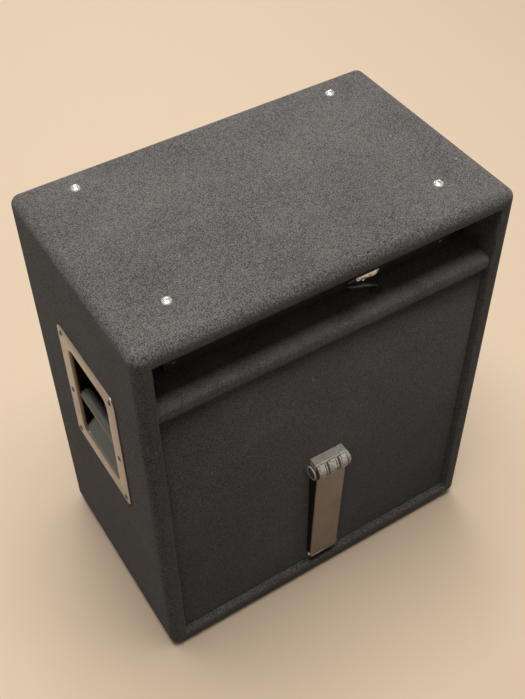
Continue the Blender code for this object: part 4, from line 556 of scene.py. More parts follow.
class Coat:
    """A Principled material under construction."""

    def __init__(self, name, colour, roughness, metallic=0.0, **sockets):
        self.material = bpy.data.materials.new(name)
        self.material.use_nodes = True
        self.tree = self.material.node_tree
        self.shader = self.tree.nodes["Principled BSDF"]
        self.colour = (*colour, 1.0)
        sockets.update(Base_Color=self.colour, Roughness=roughness, Metallic=metallic)
        for key, value in sockets.items():
            self.shader.inputs[key.replace("_", " ")].default_value = value
        self.material.diffuse_color = self.colour

    def group(self, tree, *values):
        """Places a shared group with its own values."""
        made = self.tree.nodes.new("ShaderNodeGroup")
        made.node_tree = tree
        for socket, value in zip(made.inputs, values):
            socket.default_value = value
        return {out.name: Value(out) for out in made.outputs}

    def feed(self, title, value):
        """Links a value to the shader."""
        self.tree.links.new(value.socket, self.shader.inputs[title])

    def tint(self, mask, colour, amount=1.0):
        """Mixes a colour into the base where a mask is high."""
        base = self.shader.inputs["Base Color"]
        before = Value(base.links[0].from_socket) if base.links else self.colour
        values = {0: mask if amount == 1.0 else mask * amount, 6: before, 7: (*colour, 1.0)}
        self.feed("Base Color", node(self.tree, "Mix", values, data_type="RGBA")[2])

    def dust(self, amount, scale, colour, share):
        """Dust in a colour."""
        self.tint(self.group(DUST, amount, scale)["Mask"], colour, share)

    def rough(self, mask, low, high):
        """Roughness that follows a mask."""
        self.feed("Roughness", mask.spread(0.0, 1.0, low, high))

    def bump(self, height, distance, strength):
        """Relief from a height."""
        values = {"Height": height, "Distance": distance, "Strength": strength}
        self.feed("Normal", node(self.tree, "Bump", values)["Normal"])

    def off_middle(self, low, high):
        """A mask over the distance from the cabinet's middle plane."""
        return abs(place_of(self.tree).parts()["X"]).spread(low, high)

    def times(self, factor):
        """The coat's own colour times a factor."""
        return [min(c * factor, 0.6) for c in self.colour[:3]]

    def skin(self, scale, tone, share, low, high, depth, strength):
        """Fine grain in the colour, the roughness and the relief."""
        grain = self.group(GRAIN, scale)
        self.tint(grain["Tone"], tone, share)
        self.rough(grain["Tone"], low, high)
        self.bump(grain["Height"], depth, strength)


def carpet_coat(name, painted_light=0.0):
    """Charcoal felted carpet with light fibres and lint; where asked, a pale tint in the dust pattern adds painted
    light.
    """
    coat = Coat(name, (0.012, 0.011, 0.010), 0.95, Specular_IOR_Level=0.2,
                Sheen_Weight=0.22, Sheen_Roughness=0.5, Sheen_Tint=(0.86, 0.83, 0.80, 1.0))
    pile = coat.group(PILE)
    coat.tint(pile["Tone"], (0.262, 0.249, 0.238))
    coat.tint(coat.group(LINT, 70.0, 0.06, 0.10)["Mask"], (0.34, 0.32, 0.29), 0.8)
    coat.tint(coat.group(LINT, 23.0, 0.07, 0.045)["Mask"], (0.42, 0.39, 0.35), 0.8)
    # Painted light: a pale tint in the dust pattern, for light that falls on the shelf.
    if painted_light:
        coat.dust(1.0, 24.0, (0.34, 0.32, 0.29), painted_light)
    coat.bump(pile["Height"], 0.0005, 0.7)
    return coat.material


def worn_steel(name, colour, roughness, metallic, worn=None):
    """Semi-gloss paint on steel with scratches, dust and patches rubbed between two levels of roughness."""
    low, high = worn or (roughness * 0.9, roughness * 1.3)
    coat = Coat(name, colour, roughness, metallic)
    grain, marks = coat.group(GRAIN, 1400.0), coat.group(SCUFF, 26.0, 16.0)
    coat.tint(grain["Tone"], coat.times(0.82), 0.6)
    coat.tint(marks["Scratch"], coat.times(2.2), 0.25)
    coat.dust(0.5, 45.0, (0.20, 0.18, 0.155), 0.16)
    coat.rough(marks["Rubbed"], low, high)
    coat.bump(grain["Height"], 0.00006, 0.5)
    return coat


def leg_coat():
    """The leg's enamel, with painted shade darkening the channel's flanks."""
    coat = worn_steel("leg enamel", (0.200, 0.176, 0.152), 0.38, 1.0)
    # Painted shade on the channel's flanks.
    coat.tint(coat.off_middle(0.0252, 0.0258), (0.030, 0.027, 0.024), 0.92)
    return coat.material


def dish_coat():
    """The handle plate's enamel, pale on its face; inside, painted reflection and shade make it brown on the lip and
    grey on the dish's slopes, a painted highlight runs along the slopes' corners, and painted shade makes it black on
    its ends and floor.
    """
    coat = worn_steel("handle dish enamel", (0.36, 0.325, 0.295), 0.34, 1.0, (0.30, 0.44))
    # Painted reflection and shade: brown on the lip's roll, grey on the dish's slopes.
    coat.tint(coat.off_middle(0.2815, 0.2802), (0.170, 0.142, 0.114), 0.9)
    coat.tint(coat.off_middle(0.2795, 0.2770), (0.152, 0.151, 0.138), 0.96)
    facing = normal_of(coat.tree)
    endward, inside = abs(facing["Y"]), coat.off_middle(0.2792, 0.2772)
    # Painted highlight: a pale line along the rounded corners between the slopes and the ends.
    corner = endward.near(0.52, 0.10, 0.22) * facing["Z"].spread(0.25, 0.4)
    coat.tint(corner * inside, (0.40, 0.385, 0.35), 0.9)
    # Painted shade: brown on the end-facing lip, black on the end walls and on the dish's floor.
    coat.tint(endward.spread(0.20, 0.45) * coat.off_middle(0.2826, 0.2822), (0.120, 0.096, 0.075), 0.9)
    coat.tint(endward.spread(0.68, 0.82) * inside, (0.004, 0.004, 0.005), 0.97)
    coat.tint(coat.off_middle(0.262, 0.250), (0.010, 0.010, 0.011), 0.92)
    return coat.material


def textured(name, colour, roughness, scale=1100.0, depth=0.00012):
    """Textured black paint."""
    coat = Coat(name, colour, roughness)
    coat.skin(scale, coat.times(1.5), 0.7, roughness * 0.88, roughness * 1.15, depth, 0.6)
    coat.tint(coat.group(SCUFF)["Scratch"], coat.times(3), 0.3)
    coat.dust(0.5, 50.0, (0.16, 0.15, 0.13), 0.14)
    return coat.material


def plated(name, colour, roughness, stain):
    """Bright plated or bare metal with a broken tarnish."""
    coat = Coat(name, colour, roughness, 1.0)
    rubbed = coat.group(SCUFF, 60.0, 140.0)["Rubbed"]
    coat.tint(rubbed, stain, 0.45)
    coat.rough(rubbed, roughness, roughness * 1.9)
    coat.bump(coat.group(GRAIN, 1600.0)["Height"], 0.00003, 0.4)
    return coat.material


def brass_coat():
    """Polished brass going brown."""
    coat = Coat("brass", (0.78, 0.68, 0.53), 0.2, 1.0)
    rubbed = coat.group(SCUFF, 90.0, 150.0)["Rubbed"]
    coat.tint(rubbed, (0.20, 0.145, 0.085), 0.8)
    coat.rough(rubbed, 0.18, 0.42)
    return coat.material


def foot_coat():
    """Grey rubber of the leg's foot, with dust on its raised faces and dark on its top; painted shade darkens its
    grooves and a line along its rib.
    """
    coat = Coat("leg foot rubber", (0.88, 0.82, 0.73), 0.78)
    coat.skin(520.0, (0.66, 0.605, 0.53), 0.75, 0.62, 0.9, 0.0002, 0.6)
    coat.dust(1.0, 150.0, (0.96, 0.90, 0.80), 0.6)
    coat.tint(coat.group(SCUFF, 60.0, 260.0)["Rubbed"], (0.17, 0.150, 0.130), 0.6)
    coat.tint(normal_of(coat.tree)["Z"].spread(0.93, 0.985), (0.20, 0.178, 0.155), 0.62)
    part = place_of(coat.tree).parts()
    pitch = 0.0188  # between the middles of two pads
    reach = abs((part["X"] + 1.5 * pitch).math("MODULO", pitch) - pitch / 2)
    grooves = reach.spread(0.0074, 0.0080).math("MAXIMUM", reach.near(0.0048, 0.0003, 0.0007))
    turn = radians(73)  # round the nose, where the rib under the flat top ends
    rib_end = (LEG_SPACE @ Vector((0, NOSE_Y + NOSE_RADIUS * cos(turn), NOSE_Z + NOSE_RADIUS * sin(turn)))).y
    grooves = grooves * part["Y"].spread(rib_end, rib_end + 0.0004)
    # Painted shade: dark lines in the grooves round the pads and along the rib.
    dark = grooves.math("MAXIMUM", part["Y"].near(rib_end + 0.0006, 0.0004, 0.0008))
    coat.tint(dark, (0.040, 0.036, 0.032), 0.92)
    return coat.material


def cheek_coat():
    """The foot's cheeks: grey at their rims, with painted shade darkening their dished middles."""
    coat = Coat("foot cheek rubber", (0.76, 0.70, 0.62), 0.8)
    coat.skin(520.0, (0.30, 0.28, 0.25), 0.7, 0.62, 0.9, 0.0002, 0.6)
    centre = LEG_SPACE @ Vector((0, NOSE_Y, CHEEK_Z))
    from_centre = place_of(coat.tree, (0, 1, 1)).vector_math("DISTANCE", centre, "Value")
    # Painted shade in the dished middles.
    coat.tint(from_centre.spread(0.0095, 0.0089), (0.045, 0.041, 0.036), 0.9)
    return coat.material


def rubber_coat(name, colour, dust):
    """Black rubber with dust in its skin."""
    coat = Coat(name, colour, 0.78)
    coat.skin(700.0, coat.times(1.6), 0.6, 0.62, 0.9, 0.00015, 0.6)
    coat.dust(1.0, 120.0, (0.33, 0.30, 0.26), dust)
    return coat.material


def plastic_coat(name, colour, roughness):
    """Moulded plastic."""
    coat = Coat(name, colour, roughness)
    coat.skin(1800.0, coat.times(1.35), 0.6, roughness * 0.9, roughness * 1.15, 0.00005, 0.5)
    coat.dust(0.6, 80.0, (0.2, 0.19, 0.17), 0.10)
    return coat.material


def wood_coat():
    """Plywood painted thin black, with its grain showing."""
    coat = Coat("black-stained plywood", (0.018, 0.017, 0.016), 0.62)
    grain = place_of(coat.tree, (4.0, 60.0, 60.0)).noise(9.0, 6.0, 0.65)
    coat.tint(grain.spread(0.42, 0.68), (0.050, 0.042, 0.034), 0.8)
    coat.rough(grain, 0.5, 0.8)
    coat.bump(grain, 0.0004, 0.4)
    return coat.material


def paper_coat():
    """Pressed black paper of the cone."""
    coat = Coat("cone paper", (0.022, 0.021, 0.020), 0.88)
    fibres = place_of(coat.tree).noise(420.0, 4.0, 0.7)
    coat.tint(fibres.spread(0.4, 0.7), (0.055, 0.052, 0.048), 0.7)
    coat.dust(0.8, 30.0, (0.16, 0.15, 0.13), 0.15)
    coat.bump(fibres, 0.0003, 0.6)
    return coat.material


def speckled(name, colour, roughness, scale, tone, **sockets):
    """A plain colour with a broad tone, for the lamp's lens and the screen-print."""
    coat = Coat(name, colour, roughness, **sockets)
    coat.tint(coat.group(GRAIN, scale)["Tone"], tone, 0.5)
    return coat.material


def board_coat():
    """Green solder-masked board with tracks."""
    coat = Coat("board green", (0.018, 0.13, 0.055), 0.35, Coat_Weight=0.3)
    tracks = {"Vector": place_of(coat.tree), "Scale": 90.0, "Mortar Size": 0.06}
    coat.tint(node(coat.tree, "TexBrick", tracks)["Fac"], (0.035, 0.21, 0.09), 0.6)
    coat.dust(0.6, 50.0, (0.2, 0.19, 0.17), 0.15)
    return coat.material


def tape_coat():
    """Lapped yellow tape on the transformer."""
    coat = Coat("yellow tape", (0.55, 0.40, 0.07), 0.38)
    laps = {"Vector": place_of(coat.tree), "Scale": 40.0, "Distortion": 1.5, "Detail": 2.0}
    lap = node(coat.tree, "TexWave", laps)["Fac"]
    coat.tint(lap, (0.42, 0.29, 0.05), 0.5)
    coat.dust(0.7, 60.0, (0.25, 0.23, 0.2), 0.2)
    coat.bump(lap, 0.0002, 0.4)
    return coat.material


def cloth_coat(name, colour):
    """Fine woven cloth."""
    coat = Coat(name, colour, 0.9)
    weave = node(coat.tree, "TexChecker", {"Vector": place_of(coat.tree), "Scale": 700.0})["Fac"]
    coat.tint(weave, coat.times(0.6), 0.7)
    coat.bump(weave, 0.0002, 0.5)
    return coat.material


CARPET_COAT = carpet_coat("charcoal carpet")
# The shelf's carpet has painted light: a pale tint in the dust pattern, for the light that falls into the bay from
# above and behind.
SHELF_CARPET = carpet_coat("shelf carpet with painted light", 0.42)
DISH_PAINT = dish_coat()
BAR_PAINT = worn_steel("handle bar enamel", (0.180, 0.174, 0.156), 0.45, 0.3).material
LEG_PAINT = leg_coat()
BLACK_ENAMEL = textured("black enamel", (0.018, 0.018, 0.018), 0.42)
CHASSIS_PAINT = textured("chassis powder coat", (0.022, 0.022, 0.023), 0.5)
PANEL_PAINT = textured("panel paint", (0.016, 0.016, 0.017), 0.42, 1300.0, 0.00008)
GRILLE_PAINT = textured("grille powder coat", (0.016, 0.016, 0.016), 0.45, 900.0, 0.0001)
FERRITE = textured("ferrite and steel", (0.045, 0.045, 0.048), 0.5)
NICKEL = plated("nickel plate", (0.80, 0.77, 0.72), 0.18, (0.45, 0.40, 0.34))
ZINC = plated("zinc plate", (0.62, 0.62, 0.60), 0.30, (0.40, 0.39, 0.37))
BLACK_SCREW = plated("blackened screw", (0.10, 0.095, 0.09), 0.35, (0.05, 0.045, 0.04))
ALUMINIUM = plated("extruded aluminium", (0.62, 0.63, 0.64), 0.34, (0.48, 0.48, 0.48))
BRASS = brass_coat()
FOOT_RUBBER = foot_coat()
CHEEK_RUBBER = cheek_coat()
BLACK_RUBBER = rubber_coat("black rubber", (0.020, 0.020, 0.020), 0.2)
SURROUND_COAT = rubber_coat("surround cloth", (0.020, 0.019, 0.018), 0.15)
KNOB_PLASTIC = plastic_coat("knob plastic", (0.018, 0.018, 0.018), 0.36)
BLACK_PLASTIC = plastic_coat("moulded black plastic", (0.020, 0.020, 0.020), 0.48)
LEAD_COAT = plastic_coat("lead sheath", (0.110, 0.108, 0.098), 0.34)
BLACK_WOOD = wood_coat()
CONE_PAPER = paper_coat()
RED_LENS = speckled("red lens", (0.42, 0.015, 0.012), 0.12, 900.0, (0.60, 0.03, 0.02), Coat_Weight=0.5)
WHITE_PRINT = speckled("white print", (0.62, 0.62, 0.60), 0.55, 1500.0, (0.50, 0.50, 0.48))
BOARD_GREEN = board_coat()
YELLOW_TAPE = tape_coat()
SPIDER_CLOTH = cloth_coat("spider cloth", (0.30, 0.18, 0.06))
LINT_COAT = cloth_coat("lint", (0.46, 0.43, 0.38))

for coat, names in (
    (BLACK_WOOD, "top_board bottom_board side_board_left side_board_right front_baffle"),
    (BLACK_WOOD, "amp_shelf rear_panel rear_cleats"),
    (BOARD_GREEN, "control_board main_board"),
    (YELLOW_TAPE, "power_transformer"),
    (ALUMINIUM, "heatsink"),
    (FERRITE, "horn_driver woofer_motor"),
    (SPIDER_CLOTH, "woofer_spider"),
    (ZINC, "speaker_jack"),
    (BLACK_ENAMEL, "leg_bracket woofer_basket"),
    (BLACK_RUBBER, "lead_grommet"),
):
    for name in names.split():
        held = frame["nodes"][name].data.materials
        held.clear()
        held.append(coat)


# Camera, light and floor

FLOOR_COLOUR = (0.84, 0.665, 0.49)
FLOOR_BOUNCE = (0.15, 0.12, 0.095)  # the floor as the light that bounces off it finds it
DISTANCE_COLOUR = (0.79, 0.63, 0.46)
ROOM_COLOUR = (1.0, 0.97, 0.93)
ROOM_LEVEL, ROOM_SEEN = 0.084, 0.60  # of the room, as it lights the object and as metal mirrors it


def make_camera():
    """The photograph's camera."""
    data = bpy.data.cameras.new("camera")
    data.sensor_width = 36.0
    data.lens = 53.12
    data.clip_end = 50
    right, up, back = (-0.84669, 0.53201, -0.00915), (-0.39563, -0.61795, 0.67942), (0.35581, 0.57888, 0.73369)
    place, turn = (0.55275, 0.89464, 1.50663), Matrix((right, up, back)).transposed()
    scene.camera = placed("camera", data)
    scene.camera.matrix_world = Matrix.Translation(place) @ turn.to_4x4()


def make_lamp(name, place, target, size, power, colour):
    """A soft square lamp."""
    data = bpy.data.lights.new(name, "AREA")
    data.shape = "SQUARE"
    data.size = size
    data.energy = power
    data.color = colour
    made = placed(name, data)
    made.location = place
    made.rotation_euler = (Vector(place) - Vector(target)).to_track_quat("Z", "Y").to_euler()


def seen_rays(tree):
    """1 for rays of the eye and of mirrors and glass."""
    rays = node(tree, "LightPath")
    seen = rays["Is Camera Ray"].math("MAXIMUM", rays["Is Glossy Ray"])
    return seen.math("MAXIMUM", rays["Is Transmission Ray"])


def make_floor():
    """A plain pale warm floor that the eye sees fade into the distance."""
    mesh = bpy.data.meshes.new("floor")
    reach = 12
    mesh.from_pydata([(reach * x, reach * y, 0) for x, y in ((-1, -1), (1, -1), (1, 1), (-1, 1))], [], [(0, 1, 2, 3)])
    made = placed("floor", mesh)
    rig.stage(made)
    coat = Coat("floor", FLOOR_BOUNCE, 0.9, Emission_Color=(*DISTANCE_COLOUR, 1.0))
    tree = coat.tree
    coat.tint(seen_rays(tree), FLOOR_COLOUR)
    from_middle = node(tree, "VectorMath", {0: place_of(tree)}, operation="LENGTH")["Value"]
    far = from_middle.spread(1.9, 5.5, 0.0, 0.92)
    coat.feed("Emission Strength", far * node(tree, "LightPath")["Is Camera Ray"])
    mesh.materials.append(coat.material)


def make_world():
    """An even, dim room that metal and the eye see pale."""
    world = bpy.data.worlds.new("room")
    scene.world = world
    world.use_nodes = True
    tree = world.node_tree
    back = tree.nodes["Background"]
    back.inputs["Color"].default_value = (*DISTANCE_COLOUR, 1.0)
    back.inputs["Strength"].default_value = 1.0
    strength = seen_rays(tree).spread(0.0, 1.0, ROOM_LEVEL, ROOM_SEEN)
    mirrored = node(tree, "Background", {"Color": (*ROOM_COLOUR, 1.0), "Strength": strength})[0]
    eye = node(tree, "LightPath")["Is Camera Ray"]
    mixed = node(tree, "MixShader", {0: eye, 1: mirrored, 2: Value(back.outputs[0])})[0]
    tree.links.new(mixed.socket, tree.nodes["World Output"].inputs["Surface"])


scene.view_settings.view_transform = "Standard"
make_camera()
make_world()
make_floor()
make_lamp("ceiling", (0.05, 0.0, 4.2), (0, 0, 0.0), 2.7, 154, ROOM_COLOUR)
make_lamp("window", (-0.9, -3.4, 2.4), (0, 0, 0.4), 2.2, 40, (0.95, 0.97, 1.0))


# Carpet


def make_carpet_wrap():
    """Carpet over the four walls, round their edges and into the front and back openings."""
    corner, soft = 0.0015, 0.0035  # the radius of the inner corners, and the rounding of the walls' inner edges
    end = REAR_Y - LIP

    def outer_fold(inset, round_edge, steps):
        """The carpet's turn over a wall's edge: its inset, its depth and the radius at the cabinet's corners."""
        line = []
        for a in quarter(steps):
            y = REAR_Y - inset - round_edge + round_edge * cos(a)
            line.append((inset + round_edge - round_edge * sin(a), y, max(round_edge * sin(a), corner)))
        return line

    outside = [(SHELL, end, corner)]
    outside += [(SHELL - soft + soft * cos(a), REAR_Y - soft + soft * sin(a), corner) for a in quarter(5)]
    outside += outer_fold(0, EDGE, 7)
    inside = [(SHELL - CARPET, end, corner)] + outer_fold(CARPET, EDGE - CARPET, 3)
    front, inside_front = [[(inset, -y, r) for inset, y, r in reversed(line)] for line in (outside, inside)]
    centre = (0, BASE_Z + HEIGHT / 2)
    rings = []
    for inset, y, r in outside + front + inside_front[::-1] + inside[::-1]:
        rings.append(upright(rounded(WIDTH - 2 * inset, HEIGHT - 2 * inset, r, 7, centre), y))
    wrap = lofted("cabinet_carpet", rings, CARPET_COAT, True, slot="carpet_cloth", smooth=50, replaces="carpet_wrap")
    grow, reach = 2 * HANDLE_LIP + 0.001, 0.012
    opening = rounded(HANDLE_OPENING[0] + grow, HANDLE_OPENING[1] + grow, 0.016, 6, (HANDLE_Y, HANDLE_Z))
    bm = bmesh.new()
    for _, side in SIDES:
        prism(bm, opening, "X", side * (WIDTH / 2 - reach), side * (WIDTH / 2 + reach))
    cut(wrap, bm)


def make_shelf_carpet():
    """Carpet round the shelf's nosed edges."""
    low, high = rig.box("shelf_carpet")
    length, thick = high.y - low.y, high.z - low.z
    centre = ((low.y + high.y) / 2, (low.z + high.z) / 2)
    bm = bmesh.new()
    prism(bm, rounded(length, thick, 0.008, 8, centre), "X", -high.x, high.x)
    shelf = piece("shelf_carpet_nosed", bm, SHELF_CARPET, "carpet_cloth", smooth=50, replaces="shelf_carpet")
    bm = bmesh.new()
    hollow = rounded(length - 2 * CARPET, thick - 2 * CARPET, 0.005, 4, centre)
    prism(bm, hollow, "X", -high.x - 0.01, high.x + 0.01)
    cut(shelf, bm)


def make_panel_carpet():
    """Carpet of the recessed rear panel, pulled round its edges."""
    low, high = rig.box("rear_panel_carpet")
    centre = (0, (low.z + high.z) / 2)
    width, height = high.x - low.x, high.z - low.z
    hem = ((CARPET, high.y - CARPET), (CARPET, low.y), (0, low.y))
    hem += ((0, high.y - 0.0020), (0.0006, high.y - 0.0007), (0.0020, high.y))
    rings = [upright(rounded(width - 2 * inset, height - 2 * inset, 0.002, 2, centre), y) for inset, y in hem]
    lofted("panel_carpet", rings, CARPET_COAT, slot="carpet_cloth", smooth=50, replaces="rear_panel_carpet")


def make_top_screws():
    """Cup washers with oval-headed machine screws in the top."""
    rim = 0.00735
    base = TOP_Z + 0.0002
    cup = [(0.0024, -0.001), (rim, -0.001), (rim, 0.0003), (rim * 0.965, 0.0010), (rim * 0.88, 0.0020)]
    cup += [(rim * 0.80, 0.0027), (rim * 0.73, 0.0029), (rim * 0.67, 0.0026), (rim * 0.60, 0.0018), (0.0024, 0.0012)]
    for corner in CORNERS:
        cad = "top_screw_" + corner
        low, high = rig.box(cad)
        x, y = (low.x + high.x) / 2, (low.y + high.y) / 2
        bm = bmesh.new()
        turned(bm, [(radius, base + rise) for radius, rise in cup], (x, y, 0), "Z", 40, closed=True)
        screw_head(bm, (x, y, base + 0.0019), "Z", 1, rim * 0.60, 0.0019)
        shank = mm(((2.3, 0), (2.3, 1.5), (4.6, 1.5), (4.6, 5.5), (2.3, 5.5)), low.z)
        turned(bm, shank + [(0.0023, base + 0.001)], (x, y, 0), "Z", 12)
        piece("cup_washer_" + corner, bm, NICKEL, "nickel", smooth=45, replaces=cad)
        # Painted shade: dark blocks set in the heads' cross recesses.
        bm = bmesh.new()
        for wide, deep in ((0.0023, 0.00055), (0.00055, 0.0023)):
            block(bm, (x - wide, y - deep, base + 0.0022), (x + wide, y + deep, base + 0.0036), 0.0002, 1)
        piece("cross_slot_shade_" + corner, bm, BLACK_SCREW, "nickel")


# Handles


def make_handle(name, side):
    """A pressed dish with nearly straight ends, its top and bottom sloping in, a bar across it and six screws."""
    sheet, lip, corner = 0.0020, HANDLE_LIP, 0.012
    seat, face = 0.0003, 0.0003 + sheet  # the plate's back and its face, out from the cabinet's side
    floor, bend, taper, slope = -0.047, 0.009, 0.0030, 0.0360
    wall = floor + bend  # where the walls begin
    place = (HANDLE_Y, HANDLE_Z)

    def ring(grow, out, radius, rise=None):
        """A loop round the opening, grown sideways and upwards."""
        rise = grow if rise is None else rise
        outline = rounded(HANDLE_OPENING[0] + 2 * grow, HANDLE_OPENING[1] + 2 * rise, radius, 8, place)
        return [(side * (WIDTH / 2 + out), u, v) for u, v in outline]

    def plate(shrink, out):
        """A loop round the plate."""
        size = [s - 2 * shrink for s in HANDLE_PLATE]
        return [(side * (WIDTH / 2 + out), u, v) for u, v in rounded(*size, corner - shrink, 8, place)]

    rings = []
    for a in quarter(5):
        hollow = (1 - sin(a)) * bend
        rings.append(ring(-taper - hollow, wall - bend * cos(a), corner * (0.5 + 0.5 * sin(a)), -slope - 0.7 * hollow))
    for share in (0.04, 0.5, 0.96):
        left = 1 - share
        rings.append(ring(-taper * left, wall + (face - lip - wall) * share, corner, -slope * left))
    for a in quarter(5):
        rings.append(ring(lip - lip * cos(a), face - lip + lip * sin(a), corner + lip * (1 - cos(a))))
    rings += [plate(0.0008, face), plate(0.0002, face - 0.0003), plate(0, face - 0.0009), plate(0, seat)]
    rings += [ring(lip, seat, corner + lip), ring(sheet, face - lip - sheet * 0.7, corner + sheet, sheet * 0.7)]
    rings.append(ring(sheet - taper, wall - sheet * 0.7, corner + sheet, sheet * 0.7 - slope))
    rings.append(ring(-taper - bend, floor - sheet, corner / 2, -slope - bend * 0.7))
    lofted("handle_dish_" + name, rings, DISH_PAINT, slot="handle_steel", smooth=35, replaces="handle_" + name)

    reach = HANDLE_OPENING[0] / 2 + 0.0005
    profile = [(0.0080, -reach), (0.0087, -reach + 0.0008), (0.0087, reach - 0.0008), (0.0080, reach)]
    middle = (side * (WIDTH / 2 - 0.0103), HANDLE_Y, HANDLE_Z - BAR_DROP)
    turning("handle_bar_" + name, profile, middle, "Y", 40, BAR_PAINT, slot="handle_steel", smooth=35)
    x = side * (WIDTH / 2 + face)
    spots = [(x, HANDLE_Y + y, HANDLE_Z + z) for y in (-0.0725, 0.0725) for z in (0.1015, -0.0140, -0.1015)]
    screws("handle_screws_" + name, spots, "X", side, 0.0042, 0.0014, slot="handle_steel")


# Tilt leg


def behind(height):
    """How far back the channel's edge reaches at a height, just short of the rear panel."""
    panel, gap = -0.0061, 0.0004
    return (panel + gap - height * sin(LEG_LEAN)) / cos(LEG_LEAN)


def make_leg():
    """The channel leg: a web with two flanges, round folds and a turned-in foot end."""
    half, sheet, fold, heel, reach = 0.026, 0.0015, 0.0030, 0.00573, 0.216
    straight = 0.0088  # where the flanges' straight edges begin

    def flank(inset, deep):
        """The section's line from one flange's edge to the other's, at an inset into the sheet."""
        bend = fold - inset
        line = [(-half + inset, deep)]
        line += [(-half + inset + bend - bend * cos(a), LEG_FACE - inset - bend + bend * sin(a)) for a in quarter(5)]
        return line + [(-x, y) for x, y in reversed(line)]

    heights = [(-heel, 0.0005), (-0.0047, -0.0010), (-0.003, -0.0030), (0, -0.0043), (0.004, -0.0050)]
    for i in range(9):
        z = straight + (reach - straight) * i / 8
        heights.append((z, behind(z)))
    rings = [[(x, y, z) for x, y in flank(0, deep) + flank(sheet, deep)[::-1]] for z, deep in heights]
    how = {"slot": "leg_steel", "body": "tilt_leg", "smooth": 35, "matrix": LEG_SPACE}
    soften(lofted("leg_channel", rings, LEG_PAINT, replaces="tilt_leg", **how), 0.0003, 2, 50)

    bm = bmesh.new()
    block(bm, (-half + 0.002, LEG_FACE - 0.0002, -heel), (half - 0.002, LEG_FACE + 0.0010, -heel + 0.0028), 0.0004)
    piece("leg_heel_fold", bm, LEG_PAINT, **how)

    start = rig.box("leg_pin")[0].x
    profile = mm(((0, 0), (1.6, 0), (3.1, 0.4), (4.0, 1.3), (4.0, 1.8), (1.5, 1.8)), start)
    profile += [(r, -h) for r, h in reversed(profile)]
    turning("hinge_pin", profile, PIN, "X", 24, NICKEL, slot="nickel", replaces="leg_pin")


def make_leg_foot():
    """The rubber foot: a rib on its flat top, three raised pads over a round nose, and two end cheeks."""
    base, top, radius, steps = 0.2163, FOOT_TOP, NOSE_RADIUS, 28
    nose = (NOSE_Y, NOSE_Z)
    back = behind(base)
    nose_end = degrees(acos((LEG_FACE - NOSE_Y) / radius))

    def body_ring(x, gap=0.0):
        """The foot's side view at x: a flat top, a rib, a groove under it, and the nose sunk between the pads."""
        line = [(back, base), (back, top - 0.0009), (back + 0.0009, top), (NOSE_Y - 0.0040, top)]
        for i in range(steps + 1):
            turn = 90 - (90 + nose_end) * i / steps
            sunk = 0 if turn > 75 else 0.0012 if turn > 69 else 0.0007 if turn < -30 else gap
            a = radians(turn)
            line.append((NOSE_Y + (radius - sunk) * cos(a), NOSE_Z + (radius - sunk) * sin(a)))
        return [(x, y, z) for y, z in line + [(LEG_FACE, base)]]

    half, pad, between = 0.027, 0.0152, 0.0016  # the last is how deep the nose is sunk between the pads
    middles = (-half + pad / 2 + 0.0006, 0, half - pad / 2 - 0.0006)
    rings = [body_ring(-half, between)]
    for middle in middles:
        a, b = middle - pad / 2, middle + pad / 2
        rings += [body_ring(a - 0.0002, between), body_ring(a + 0.0002, 0.0004), body_ring(a + 0.0006)]
        rings += [body_ring(b - 0.0006), body_ring(b - 0.0002, 0.0004), body_ring(b + 0.0002, between)]
    how = {"slot": "rubber", "body": "tilt_leg", "smooth": 32, "matrix": LEG_SPACE}
    foot = lofted("foot_rubber", rings + [body_ring(half, between)], FOOT_RUBBER, replaces="leg_foot", **how)

    bm = bmesh.new()
    for middle in middles:
        for over, under, high, low, count, wide in (
            (0.002, 0.0009, 58, -20, 14, 0.0048),
            (-0.0002, 0.0012, 47, -9, 12, 0.0026),
        ):
            outline = arc(nose, radius + over, high, low, count) + arc(nose, radius - under, low, high, count)
            prism(bm, outline, "X", middle - wide, middle + wide)
    bmesh.ops.transform(bm, matrix=LEG_SPACE, verts=bm.verts)
    cut(foot, bm)

    profile = ((26.2, 5.0), (29.5, 5.0), (29.5, 0.6), (30.0, 0), (31.4, 0), (32.0, 0.8), (31.8, 2.2), (31.1, 3.0))
    bm = bmesh.new()
    for _, side in SIDES:
        rings = []
        for x, inset in mm(profile):
            r = CHEEK_RADIUS - inset
            turn = 90 + degrees(asin(min((NOSE_Y - back - inset * 0.5) / r, 1)))
            rings.append([(side * x, y, z) for y, z in arc((NOSE_Y, CHEEK_Z), r, turn, -turn, 26)])
        loft(bm, rings)
    piece("foot_cheeks", bm, CHEEK_RUBBER, **how)


# Plug and lead


